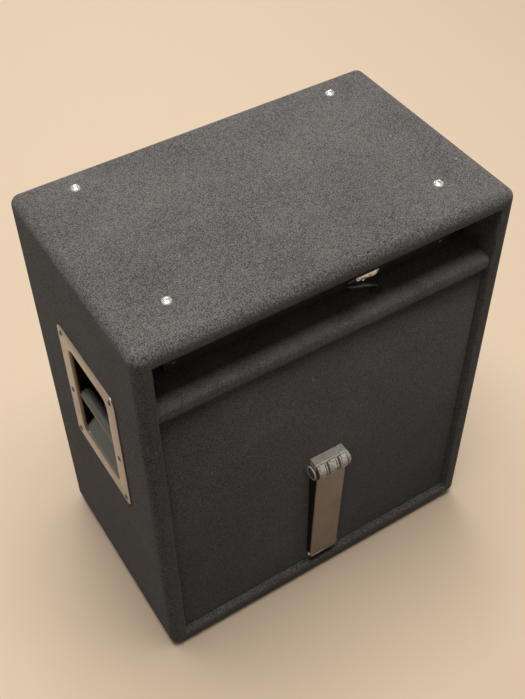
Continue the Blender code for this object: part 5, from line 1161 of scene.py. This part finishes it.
def make_plug():
    """The right-angle plug: a neck in the jack and a pear-shaped barrel along the back, with a nub at its tip."""
    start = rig.box("speaker_plug")[0].y
    neck = [(0.0015, start), (0.0031, start + 0.003)]
    neck += mm(((3.175, 127.0), (6.2, 127.2), (6.6, 128.0), (6.6, 129.6), (5.8, 130.6), (5.2, 133.0)))
    turning("plug_neck", neck, (JACK_X, 0, JACK_Z), "Y", 36, BRASS, slot="brass", smooth=35, replaces="speaker_plug")
    shape = ((0, -92.9), (1.1, -92.8), (1.9, -92.2), (2.2, -91.4), (2.2, -90.2), (3.4, -89.6), (4.6, -88.4))
    shape += ((5.5, -86.6), (6.05, -84), (6.25, -81), (6.2, -78), (5.95, -74.5), (5.55, -71), (5.1, -67.5))
    shape += ((4.75, -64.5), (4.6, -62.6), (4.2, -62.2), (4.2, -61.4), (4.65, -61), (4.6, -58), (4.3, -56.2))
    shape += ((3.5, -55.2), (2.6, -55))
    turning("plug_barrel", mm(shape), (0, BARREL_Y, JACK_Z), "X", 40, BRASS, slot="brass", smooth=35)
    dome = mm([(2.1 * sin(a), 5.4 + 1.9 * cos(a)) for a in quarter(5)] + [(2.1, 3.6)], BARREL_Y)
    turning("plug_clamp_screw", dome, (-0.0640, 0, JACK_Z - 0.0006), "Y", 24, NICKEL, slot="nickel")
    bm = bmesh.new()
    nut = [(JACK_X + 0.0072 * cos(a), JACK_Z + 0.0072 * sin(a)) for a in angles(6, 0)]
    prism(bm, nut, "Y", CHASSIS_BACK + 0.0003, CHASSIS_BACK + 0.0026)
    soften(piece("jack_nut", bm, ZINC, "zinc_steel", smooth=30), 0.0003)


def smooth_route(points, count):
    """Points at even steps along a Catmull-Rom curve, and its length."""
    route = [Vector(p) for p in points]
    dense = []
    for i in range(len(route) - 1):
        a, b = route[max(i - 1, 0)], route[i]
        c, d = route[i + 1], route[min(i + 2, len(route) - 1)]
        for k in range(24):
            t = k / 24
            twice = 2 * b + (c - a) * t + (2 * a - 5 * b + 4 * c - d) * t**2 + (3 * b - a - 3 * c + d) * t**3
            dense.append(0.5 * twice)
    dense.append(route[-1])
    run = [0.0]
    for p, q in zip(dense, dense[1:]):
        run.append(run[-1] + (q - p).length)
    even, k = [], 0
    for i in range(count):
        target = run[-1] * i / (count - 1)
        while k < len(run) - 2 and run[k + 1] < target:
            k += 1
        t = (target - run[k]) / (run[k + 1] - run[k])
        even.append(dense[k].lerp(dense[k + 1], min(max(t, 0), 1)))
    return even, run[-1]


def lead_route():
    """The lead's points: out of the barrel, back and down through the shelf, then with slack to the woofer."""
    plug = Vector((-0.055, BARREL_Y, JACK_Z))
    turns = ((1.6, 0.05, 0.07), (3.2, 0.4, 0.5), (4.4, 1.5, 1.3), (4.6, 3.0, 2.0), (3.5, 4.1, 2.3))
    turns += ((1.5, 4.5, 2.0), (-0.9, 4.3, 0.9), (-3.1, 3.8, -0.7), (-5.2, 2.9, -2.4), (-6.8, 1.9, -4.0))
    route = [plug + Vector((0.0003, 0, 0))] + [plug + LEAD * Vector(turn) for turn in turns]
    x, y, top, bottom = -0.088, 0.140, 0.5634, 0.5388  # the hole in the shelf
    heights = (top + 1.4 * LEAD, top + 0.5 * LEAD, top - 1.4 * LEAD, bottom + 0.7 * LEAD, bottom - 1.1 * LEAD)
    route += [Vector((x, y, z)) for z in heights]
    below = Vector((x, y - 1.8 * LEAD, bottom - 6.4 * LEAD))
    terminal = Vector((0, BAFFLE_Y + 0.071, WOOFER_Z + 0.1463))
    above = terminal + Vector((0, 0, 2.3 * LEAD))
    slack = ((0.06, 0.15, 0.36), (0.18, 0.41, 0.65), (0.45, 0.71, 0.80), (0.75, 0.90, 0.86), (0.95, 0.985, 0.92))
    route.append(below)
    for share in slack:
        route.append(Vector([a + (b - a) * part for a, b, part in zip(below, above, share)]))
    return route + [above, terminal]


def make_lead():
    """The speaker lead from the plug, in a loop behind it and down through the shelf to the woofer."""
    points, length = smooth_route(lead_route(), 150)
    curve = bpy.data.curves.new("speaker_flex", "CURVE")
    curve.dimensions = "3D"
    curve.bevel_depth = LEAD / 2
    curve.bevel_resolution = 4
    curve.use_fill_caps = True
    spline = curve.splines.new("POLY")
    spline.points.add(len(points) - 1)
    for held, point in zip(spline.points, points):
        held.co = (*point, 1.0)
    spline.use_smooth = True
    curve.materials.append(LEAD_COAT)
    lead = placed("speaker_flex", curve)
    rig.ride(lead, "cabinet")
    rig.slot(lead, "black_plastic")
    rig.replaces(lead, "speaker_lead")
    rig.cord(lead, exit=points[0], length=length, diameter=0.0044, far_end="object", stiffness="limp", lay="loose")
    print("speaker flex length", round(length, 4))


# Lint


def thread(bm, points, radius):
    """A fine round thread along points."""
    rings = []
    for i, point in enumerate(points):
        along = (points[min(i + 1, len(points) - 1)] - points[max(i - 1, 0)]).normalized()
        side = along.cross(Vector((0, 0, 1))).normalized()
        up = side.cross(along)
        rings.append([point + radius * (cos(a) * side + sin(a) * up) for a in angles(5)])
    loft(bm, rings)


def make_lint():
    """Pale threads and one long hair that lie on the carpet."""
    dice = random.Random(11)
    hair = (0.060, 0.030, 0.9, 0.030)
    ranges = ((-0.25, 0.25), (-0.15, 0.15), (0, 2 * pi), (0.003, 0.009))
    spots = [hair] + [[dice.uniform(*ends) for ends in ranges] for _ in range(16)]
    bm = bmesh.new()
    for x, y, way, length in spots:
        points = []
        bend = dice.uniform(-1.6, 1.6)
        for i in range(9):
            share = i / 8
            turn = way + bend * share
            x += length / 8 * cos(turn)
            y += length / 8 * sin(turn)
            points.append(Vector((x, y, TOP_Z + 0.00012 + 0.00022 * sin(pi * share))))
        thread(bm, points, 0.00011 if length > 0.02 else 0.00017)
    piece("lint_threads", bm, LINT_COAT, "carpet_cloth", smooth=60)


# Amplifier


def make_chassis():
    """The folded chassis with vent slots behind the heatsink, its screws and the jack's plate screws."""
    chassis = dressed("amp_chassis", CHASSIS_PAINT, 0.0005, "chassis_steel")
    bm = bmesh.new()
    for i in range(15):
        vent = rounded(0.0032, 0.034, 0.0016, 4, (-0.043 + 0.009 * i, 0.605))
        prism(bm, vent, "Y", CHASSIS_BACK - 0.005, CHASSIS_BACK + 0.005)
    cut(chassis, bm)
    spots = ((-0.206, 0.579), (-0.206, 0.632), (-0.125, 0.632), (0.206, 0.632), (0.206, 0.579), (0.110, 0.632))
    screws("chassis_screws", upright(spots, CHASSIS_BACK), "Y", 1, 0.0033, 0.0016)
    spots = ((-0.0790, 0.5755), (-0.0965, 0.6120))
    screws("jack_plate_screws", upright(spots, CHASSIS_BACK), "Y", 1, 0.0026, 0.0015, NICKEL, "nickel")


def mark(bm, x, z, turn, start, end, wide=0.0005):
    """A raised printed line on the panel, along a turn from a centre."""
    way, side = Vector((sin(turn), 0, cos(turn))), Vector((cos(turn), 0, -sin(turn)))
    centre = Vector((x, FACE_Y, z))
    corners = ((start, -1), (end, -1), (end, 1), (start, 1))
    outline = [centre + way * reach + side * wide / 2 * hand for reach, hand in corners]
    loft(bm, [[p + Vector((0, y, 0)) for p in outline] for y in (0.0002, -0.00007)])


def figure(bm, strokes, x, z, size):
    """A small printed figure from strokes on a grid of 2 by 4."""
    for ends in strokes:
        start, end = [Vector((u, 0, v)) * size / 4 for u, v in ends]
        run = end - start
        mark(bm, x + start.x, z + start.z, atan2(run.x, run.z), -0.00012, run.length + 0.00012, size * 0.11)


def make_panel():
    """The control panel, its printed scales and lines, and its screws."""
    dressed("control_panel", PANEL_PAINT, 0.0004, "panel_paint")
    one = (((0, 0), (0, 4)),)
    nought = one + (((0, 4), (2, 4)), ((2, 4), (2, 0)), ((2, 0), (0, 0)))
    scale = 0.0118  # from a knob's middle to where its scale begins
    bm = bmesh.new()
    for x in KNOB_XS:
        for i in range(11):
            mark(bm, x, CONTROL_Z, radians(-150 + 30 * i), scale, scale + (0.0014 if i % 5 else 0.0022))
        for strokes, shift in ((nought, -0.0102), (one, 0.0078), (nought, 0.0088)):
            figure(bm, strokes, x + shift, CONTROL_Z - 0.0166, 0.0026)
    for z in (0.5775, 0.6310):
        mark(bm, (KNOB_XS[0] + KNOB_XS[-1]) / 2, z, pi / 2, -0.137, 0.137, 0.0004)
    piece("panel_scales", bm, WHITE_PRINT, "panel_paint", smooth=0)
    spots = [(x, FACE_Y, z) for x in (-0.246, 0.246) for z in (0.5728, 0.6360)]
    screws("panel_screws", spots, "Y", -1, 0.0036, 0.0018)


def make_knob(title, x):
    """A fluted knob on a plain skirt, with a nib on the skirt and a white line on its cap."""
    knob, rim = title + "_knob", FACE_Y - 0.0006
    plain = ((2.8, -6.6), (2.8, 3.2), (6.84, 3.2), (6.84, 0), (9.4, 0), (9.5, 0.3), (9.5, 1.6), (9.2, 2.2), (8.5, 2.6))
    fluted = ((8.2, 3.1), (7.9, 8.0), (7.6, 13.6), (7.45, 14.4), (7.1, 15.0), (6.6, 15.4))
    cap = ((5.6, 15.4), (5.2, 15.1), (2.0, 15.05), (0.3, 15.05))
    rings = []
    for shape, flute in ((plain, 0), (fluted, 0.42), (cap, 0)):
        for radius, height in shape:
            nib = 1.3 if radius > 9.1 else 0
            ring = []
            for a in angles(144, 0):
                reach = radius - flute * (0.5 + 0.5 * cos(18 * a)) ** 2
                reach += nib * max(0.0, 1 - (abs(a - pi / 2) / radians(8)) ** 2)
                ring.append((x + reach / 1000 * cos(a), rim - height / 1000, CONTROL_Z + reach / 1000 * sin(a)))
            rings.append(ring)
    how = {"slot": "knob_plastic", "body": knob, "smooth": 35}
    lofted(knob + "_fluted", rings, KNOB_PLASTIC, replaces=knob, **how)
    top = rim - 0.01505
    bm = bmesh.new()
    prism(bm, rounded(0.0008, 0.0046, 0.00035, 3, (x, CONTROL_Z + 0.0029)), "Y", top - 0.0002, top + 0.0004)
    prism(bm, rounded(0.0008, 0.0021, 0.0003, 3, (x, CONTROL_Z + 0.00945)), "Y", rim - 0.0024, rim - 0.0012)
    piece(knob + "_line", bm, WHITE_PRINT, **how)


def make_buttons():
    """Two square push buttons with dished caps."""
    shape = ((0, -150), (0, -160.4), (0.15, -161.0), (0.5, -161.4), (1.0, -161.5), (1.6, -161.35), (2.4, -161.15))
    shape += ((3.6, -161.05),)
    for button, x in (("pad_button", -0.173), ("mute_button", 0.114)):
        rings = []
        for shrink, y in mm(shape):
            size = 0.008 - 2 * shrink
            rings.append(upright(rounded(size, size, max(0.0009 - shrink / 5, 0.00012), 4, (x, CONTROL_Z)), y))
        lofted(button + "_cap", rings, KNOB_PLASTIC, slot="knob_plastic", body=button, smooth=35, replaces=button)


def make_rocker():
    """The power rocker with a smooth hollow face and printed marks, in its housing."""
    dressed("power_switch_body", BLACK_PLASTIC, 0.00035, "black_plastic")
    tilt = Matrix.Translation((0.190, -0.1545, CONTROL_Z)) @ Matrix.Rotation(radians(9), 4, "X")
    how = {"slot": "knob_plastic", "body": "power_rocker", "smooth": 35, "matrix": tilt}
    half = 0.008

    def face(v):
        """How far the face stands out at a height."""
        return -0.0036 - 0.0014 * (v / half) ** 2

    hollow = [(face(v), v) for v in [-half + 2 * half * i / 16 for i in range(17)]]
    bm = bmesh.new()
    prism(bm, [(0.0030, -0.0070), *hollow, (0.0030, 0.0070)], "X", -0.005, 0.005)
    soften(piece("power_rocker_face", bm, KNOB_PLASTIC, replaces="power_rocker", **how), 0.0003)
    z = 0.0045  # from the rocker's middle to a mark's
    bm = bmesh.new()
    block(bm, (-0.0003, face(z) - 0.00008, z - 0.0012), (0.0003, face(z) + 0.0004, z + 0.0012), 0.00005, 1)
    nought = mm(((0.9, 0.4), (0.9, -0.12), (1.4, -0.12), (1.4, 0.4)), face(z))
    loft(bm, [[(r * cos(a), y, r * sin(a) - z) for a in angles(24)] for r, y in nought], closed=True)
    piece("power_rocker_marks", bm, WHITE_PRINT, **how)


def make_lamp_lens():
    """The lamp's bezel and its domed lens."""
    centre = (0.162, 0, CONTROL_Z)
    bezel = mm(((2.95, -156.1), (3.7, -156.1), (3.7, -156.7), (3.5, -157.1), (3.1, -157.1), (2.95, -156.8)))
    turning("lamp_bezel", bezel, centre, "Y", 40, ZINC, True, slot="zinc_steel", smooth=35)
    radius, seat, rise = 0.00294, -0.1567, 0.0017
    dome = [(radius, -0.1493)] + [(radius * cos(a), seat - rise * sin(a)) for a in quarter(7)[:-1]] + [(0, seat - rise)]
    turning("lamp_lens", dome, centre, "Y", 40, RED_LENS, slot="red_lens", smooth=50, replaces="power_lamp")


def make_jack_front():
    """The input jack: moulded body, bushing through the panel, washer and hexagon nut."""
    x = -0.200
    shape = ((0, -130), (7.8, -130), (8.0, -130.4), (8.0, -153.7), (4.9, -153.9), (4.9, -159.4), (4.6, -159.8))
    shape += ((3.9, -159.8), (3.55, -159.3), (3.55, -134), (0, -134))
    how = {"slot": "black_plastic", "smooth": 35, "replaces": "input_jack"}
    turning("input_jack_bushing", mm(shape), (x, 0, CONTROL_Z), "Y", 48, BLACK_PLASTIC, **how)
    bore, flat = 4.95, 1 / cos(pi / 6)  # the nut's hole, and a hexagon's corner for a flat 1 from its middle
    bm = bmesh.new()
    washer = mm(((bore, -156.15), (7.1, -156.15), (7.1, -156.5), (bore, -156.6)))
    turned(bm, washer, (x, 0, CONTROL_Z), "Y", 48, closed=True)
    nut = ((6.0 * flat, -156.6), (6.25 * flat, -156.8), (6.25 * flat, -158.4), (5.9 * flat, -158.7))
    nut += ((bore, -158.7), (bore, -156.6))
    turns = angles(6, 0)
    loft(bm, [[(x + r * cos(a), y, CONTROL_Z + r * sin(a)) for a in turns] for r, y in mm(nut)], closed=True)
    piece("input_jack_nut", bm, NICKEL, "nickel", smooth=25)


def make_inlet():
    """The mains inlet with its three metal pins and two flange screws."""
    dressed("mains_inlet", BLACK_PLASTIC, 0.0004, "black_plastic")
    low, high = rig.box("mains_inlet")
    middle, lip = (low.x + high.x) / 2, high.y
    bm = bmesh.new()
    for step in (-1, 0, 1):
        x, z = middle + 0.007 * step, CONTROL_Z + (-0.002 if step else 0.002)
        rings = []
        for shrink, y in ((0, -0.0152), (0, -0.0078), (0.0003, -0.0073), (0.0007, -0.0071)):
            w, h = 0.00105 - shrink, 0.00205 - shrink
            rings.append([(x + u * w, lip + y, z + v * h) for u, v in ((-1, -1), (1, -1), (1, 1), (-1, 1))])
        loft(bm, rings)
    piece("inlet_pins", bm, ZINC, "zinc_steel", smooth=30)
    spots = [(middle + x, lip, CONTROL_Z) for x in (-0.0200, 0.0200)]
    screws("inlet_screws", spots, "Y", 1, 0.0030, 0.0013)


# Grille


def make_grille():
    """The perforated steel pan: staggered round holes between plain margins, with folded edges."""
    low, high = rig.box("grille")
    centre_z = (low.z + high.z) / 2
    half_x, half_z = high.x, (high.z - low.z) / 2
    pitch, rise, hole, columns, rows = 0.010, 0.00866, 0.0033, 49, 56
    sheet = fold = 0.0015
    outer, inner = 0.004, 0.0025  # the radii of the pan's corners
    front, back = low.y, low.y + sheet
    wide, tall = 2 * columns, 2 * rows
    bm = bmesh.new()
    held = {}

    def at(ix, iz, y):
        """The shared vertex at quarter pitches across and half rows up."""
        key = (ix, iz, y)
        if key not in held:
            held[key] = bm.verts.new((ix * pitch / 4, y, centre_z + (iz - rows) * rise / 2))
        return held[key]

    around = ((2, 0), (2, 1), (1, 1), (0, 1), (-1, 1), (-2, 1), (-2, 0), (-2, -1), (-1, -1), (0, -1), (1, -1), (2, -1))
    margin = ((0, -1), (0, 0), (0, 1), (1, 1), (2, 1), (2, 0), (2, -1), (1, -1))
    for row in range(rows):
        middle, count = 2 * row + 1, columns - row % 2
        z = centre_z + (middle - rows) * rise / 2
        for column in range(count):
            cx = 4 * column - 2 * (count - 1)
            rims = []
            for y in (front, back):
                cell = [at(cx + dx, middle + dz, y) for dx, dz in around]
                turns = angles(12, 0)
                rims.append([bm.verts.new((cx * pitch / 4 + hole * cos(a), y, z + hole * sin(a))) for a in turns])
                bridge(bm, cell, rims[-1])
            bridge(bm, *rims)
        if row % 2:
            for _, side in SIDES:
                for y in (front, back):
                    bm.faces.new([at(side * (wide - dx), middle + dz, y) for dx, dz in margin])

    loop = [(ix, 0) for ix in range(-wide, wide)] + [(wide, iz) for iz in range(tall)]
    loop += [(ix, tall) for ix in range(wide, -wide, -1)] + [(-wide, iz) for iz in range(tall, 0, -1)]

    def ring(inset, y, corner):
        """The edge's loop, set in from the outside."""
        made = []
        w, h = half_x - inset, half_z - inset
        for ix, iz in loop:
            u, v = ix / wide * w, (iz - rows) / rows * h
            du, dv = abs(u) - (w - corner), abs(v) - (h - corner)
            if du > 0 and dv > 0:
                grow = corner / sqrt(du * du + dv * dv)
                u, v = copysign(w - corner + du * grow, u), copysign(h - corner + dv * grow, v)
            made.append(bm.verts.new((u, y, centre_z + v)))
        return made

    rings = [[at(ix, iz, front) for ix, iz in loop]]
    for a in quarter(4):
        inset = fold - fold * sin(a)
        rings.append(ring(inset, front + fold - fold * cos(a), outer - inset))
    rings += [ring(0, high.y, outer), ring(sheet, high.y, inner), ring(sheet + 0.0004, back, inner)]
    rings.append([at(ix, iz, back) for ix, iz in loop])
    for a, b in zip(rings, rings[1:]):
        bridge(bm, a, b)
    piece("grille_perforated", bm, GRILLE_PAINT, "grille_steel", replaces="grille")
    spots = [(x, front, centre_z + z) for x in (-0.2492, 0, 0.2492) for z in (-0.2471, 0, 0.2471) if x or z]
    screws("grille_screws", spots, "Y", -1, 0.0028, 0.0012)


# Loudspeaker


def round_about(x, y, z, reach, count):
    """Spots on a circle that faces the front."""
    return [(x + reach * cos(a), y, z + reach * sin(a)) for a in angles(count)]


def make_cone():
    """The woofer's cone with its former, and the dust cap."""
    knots = ((0.0369, 0.072), (0.062, 0.060), (0.105, 0.034), (0.150, 0.004))
    inner, outer = knots[0][0], knots[-1][0]
    centre = (0, 0, WOOFER_Z)
    how = {"slot": "paper_cone", "body": "woofer_cone", "smooth": 50}

    def depth(radius):
        """The smooth curve through the cone's knots."""
        total = 0.0
        for r, d in knots:
            for other, _ in knots:
                if other != r:
                    d *= (radius - other) / (r - other)
            total += d
        return total

    radii = [inner + (outer - inner) * i / 22 for i in range(23)]
    line = [(r, BAFFLE_Y + depth(r)) for r in radii]
    line += [(r, y + 0.0021) for r, y in reversed(line[1:])]
    line += mm(((37.7, 74.5), (37.7, 118), (36.9, 118)), BAFFLE_Y)
    turning("cone_paper", line, centre, "Y", 96, CONE_PAPER, True, replaces="woofer_cone", **how)
    shares = [1 - i / 12 for i in range(13)]
    dome = [(0.0548 * s, BAFFLE_Y + 0.0625 - 0.014 * (1 - s * s) ** 0.8) for s in shares]
    under = [(0.0542 * s, y + 0.0012) for s, (_, y) in zip(reversed(shares), reversed(dome))]
    turning("dust_cap", dome + under, centre, "Y", 72, CONE_PAPER, True, replaces="woofer_dust_cap", **how)


def make_surround():
    """The rolled surround, the gasket over its edge and the basket's screws."""
    line = [(176.4, -3.0), (165.1, -3.0), (163.9, -3.3)] + arc((157.8, -3.0), 5.6, -12, -168, 12)
    line += [(151.9, -2.4), (151.2, 1.5), (150.4, 4.6)]
    under = [(r - 0.35, d + 0.85) for r, d in reversed(line[1:])] + [(176.4, -2.15)]
    how = {"slot": "rubber", "smooth": 60, "replaces": "woofer_surround"}
    turning("surround_roll", mm(line + under, BAFFLE_Y), (0, 0, WOOFER_Z), "Y", 96, SURROUND_COAT, True, **how)
    screws("basket_screws", round_about(0, BAFFLE_Y - 0.0058, WOOFER_Z, 0.1852, 8), "Y", -1, 0.0045, 0.0020)


def make_horn():
    """The horn's flare with a smooth throat, its flange and four screws."""
    steps, mouth, throat, wall, corner = 20, (0.196, 0.068), 0.0125, 0.003, 0.008
    front, seat, deep = -0.1543, -0.1502, -0.086

    def flare(i, grow, end):
        """A section at a step between the throat and the mouth, which lies at a depth."""
        t = i / steps
        opened = (exp(2.2 * t) - 1) / (exp(2.2) - 1)
        size = [2 * throat + (side - 2 * throat) * opened + 2 * grow for side in mouth]
        outline = rounded(*size, throat + grow - (throat - corner) * t, 6, (0, HORN_Z))
        return upright(outline, deep + (end - deep) * t)

    def flange(shrink, y):
        """A ring of the flange's edge."""
        return upright(rounded(0.220 - 2 * shrink, 0.092 - 2 * shrink, corner - shrink, 6, (0, HORN_Z)), y)

    rings = [flare(i, 0, front + 0.0010) for i in range(steps + 1)]
    rings.append([(u * 1.004, front, HORN_Z + (v - HORN_Z) * 1.012) for u, y, v in rings[-1]])
    rings += [flange(0.0010, front), flange(0.0003, front + 0.0004), flange(0, front + 0.0011), flange(0, seat)]
    rings += [flare(i, wall, seat) for i in reversed(range(steps + 1))]
    lofted("horn_moulding", rings, BLACK_PLASTIC, True, slot="black_plastic", replaces="horn_flare")
    spots = [(x, front, HORN_Z + z) for x in (-0.1035, 0.1035) for z in (-0.0395, 0.0395)]
    screws("horn_screws", spots, "Y", -1, 0.0033, 0.0015)


def make_ports():
    """Two moulded port tubes with rolled mouths, and their screws."""
    shape = ((35, 8), (35, 6.6), (35.4, 3.0), (36.4, 0.2), (37.8, -1.8), (39.6, -3.0), (41.6, -3.3), (48.8, -3.3))
    shape += ((49.7, -2.9), (50, -2.2), (50, -0.2), (38, -0.2), (38, 117), (35.3, 117), (35, 116.6))
    for side, _ in SIDES:
        cad = "port_tube_" + side
        low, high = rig.box(cad)
        x = (low.x + high.x) / 2
        how = {"slot": "black_plastic", "replaces": cad}
        turning("port_moulding_" + side, mm(shape, BAFFLE_Y), (x, 0, HORN_Z), "Y", 72, BLACK_PLASTIC, True, **how)
        screws("port_screws_" + side, round_about(x, BAFFLE_Y - 0.0033, HORN_Z, 0.0455, 4), "Y", -1, 0.0030, 0.0014)


def make_rubber_feet():
    """Four moulded rubber feet with a sunk screw in each."""
    shape = ((7.2, 0), (16.4, 0), (17.2, 0.3), (17.7, 1.0), (19.0, 6.9), (19.0, 7.7), (3.0, 7.7), (3.0, 5.2))
    shape += ((6.6, 5.2), (6.7, 0.6))
    for corner in CORNERS:
        cad = "rubber_foot_" + corner
        low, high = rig.box(cad)
        x, y = (low.x + high.x) / 2, (low.y + high.y) / 2
        how = {"slot": "rubber", "smooth": 35, "replaces": cad}
        turning("foot_" + corner, mm(shape), (x, y, 0), "Z", 48, BLACK_RUBBER, True, **how)
        screws("foot_screw_" + corner, [(x, y, 0.0050)], "Z", -1, 0.0048, 0.0020, ZINC)


make_carpet_wrap()
make_shelf_carpet()
make_panel_carpet()
make_top_screws()
for name, side in SIDES:
    make_handle(name, side)
make_leg()
make_leg_foot()
make_plug()
make_lead()
make_lint()
make_chassis()
make_panel()
for title, place in zip(KNOB_NAMES, KNOB_XS):
    make_knob(title, place)
make_buttons()
make_rocker()
make_lamp_lens()
make_jack_front()
make_inlet()
make_grille()
make_cone()
make_surround()
make_horn()
make_ports()
make_rubber_feet()

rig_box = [list(corner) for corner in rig.bounds()]
with open("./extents.json", "w") as out:
    json.dump({"cad": cad_box, "visual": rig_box}, out)
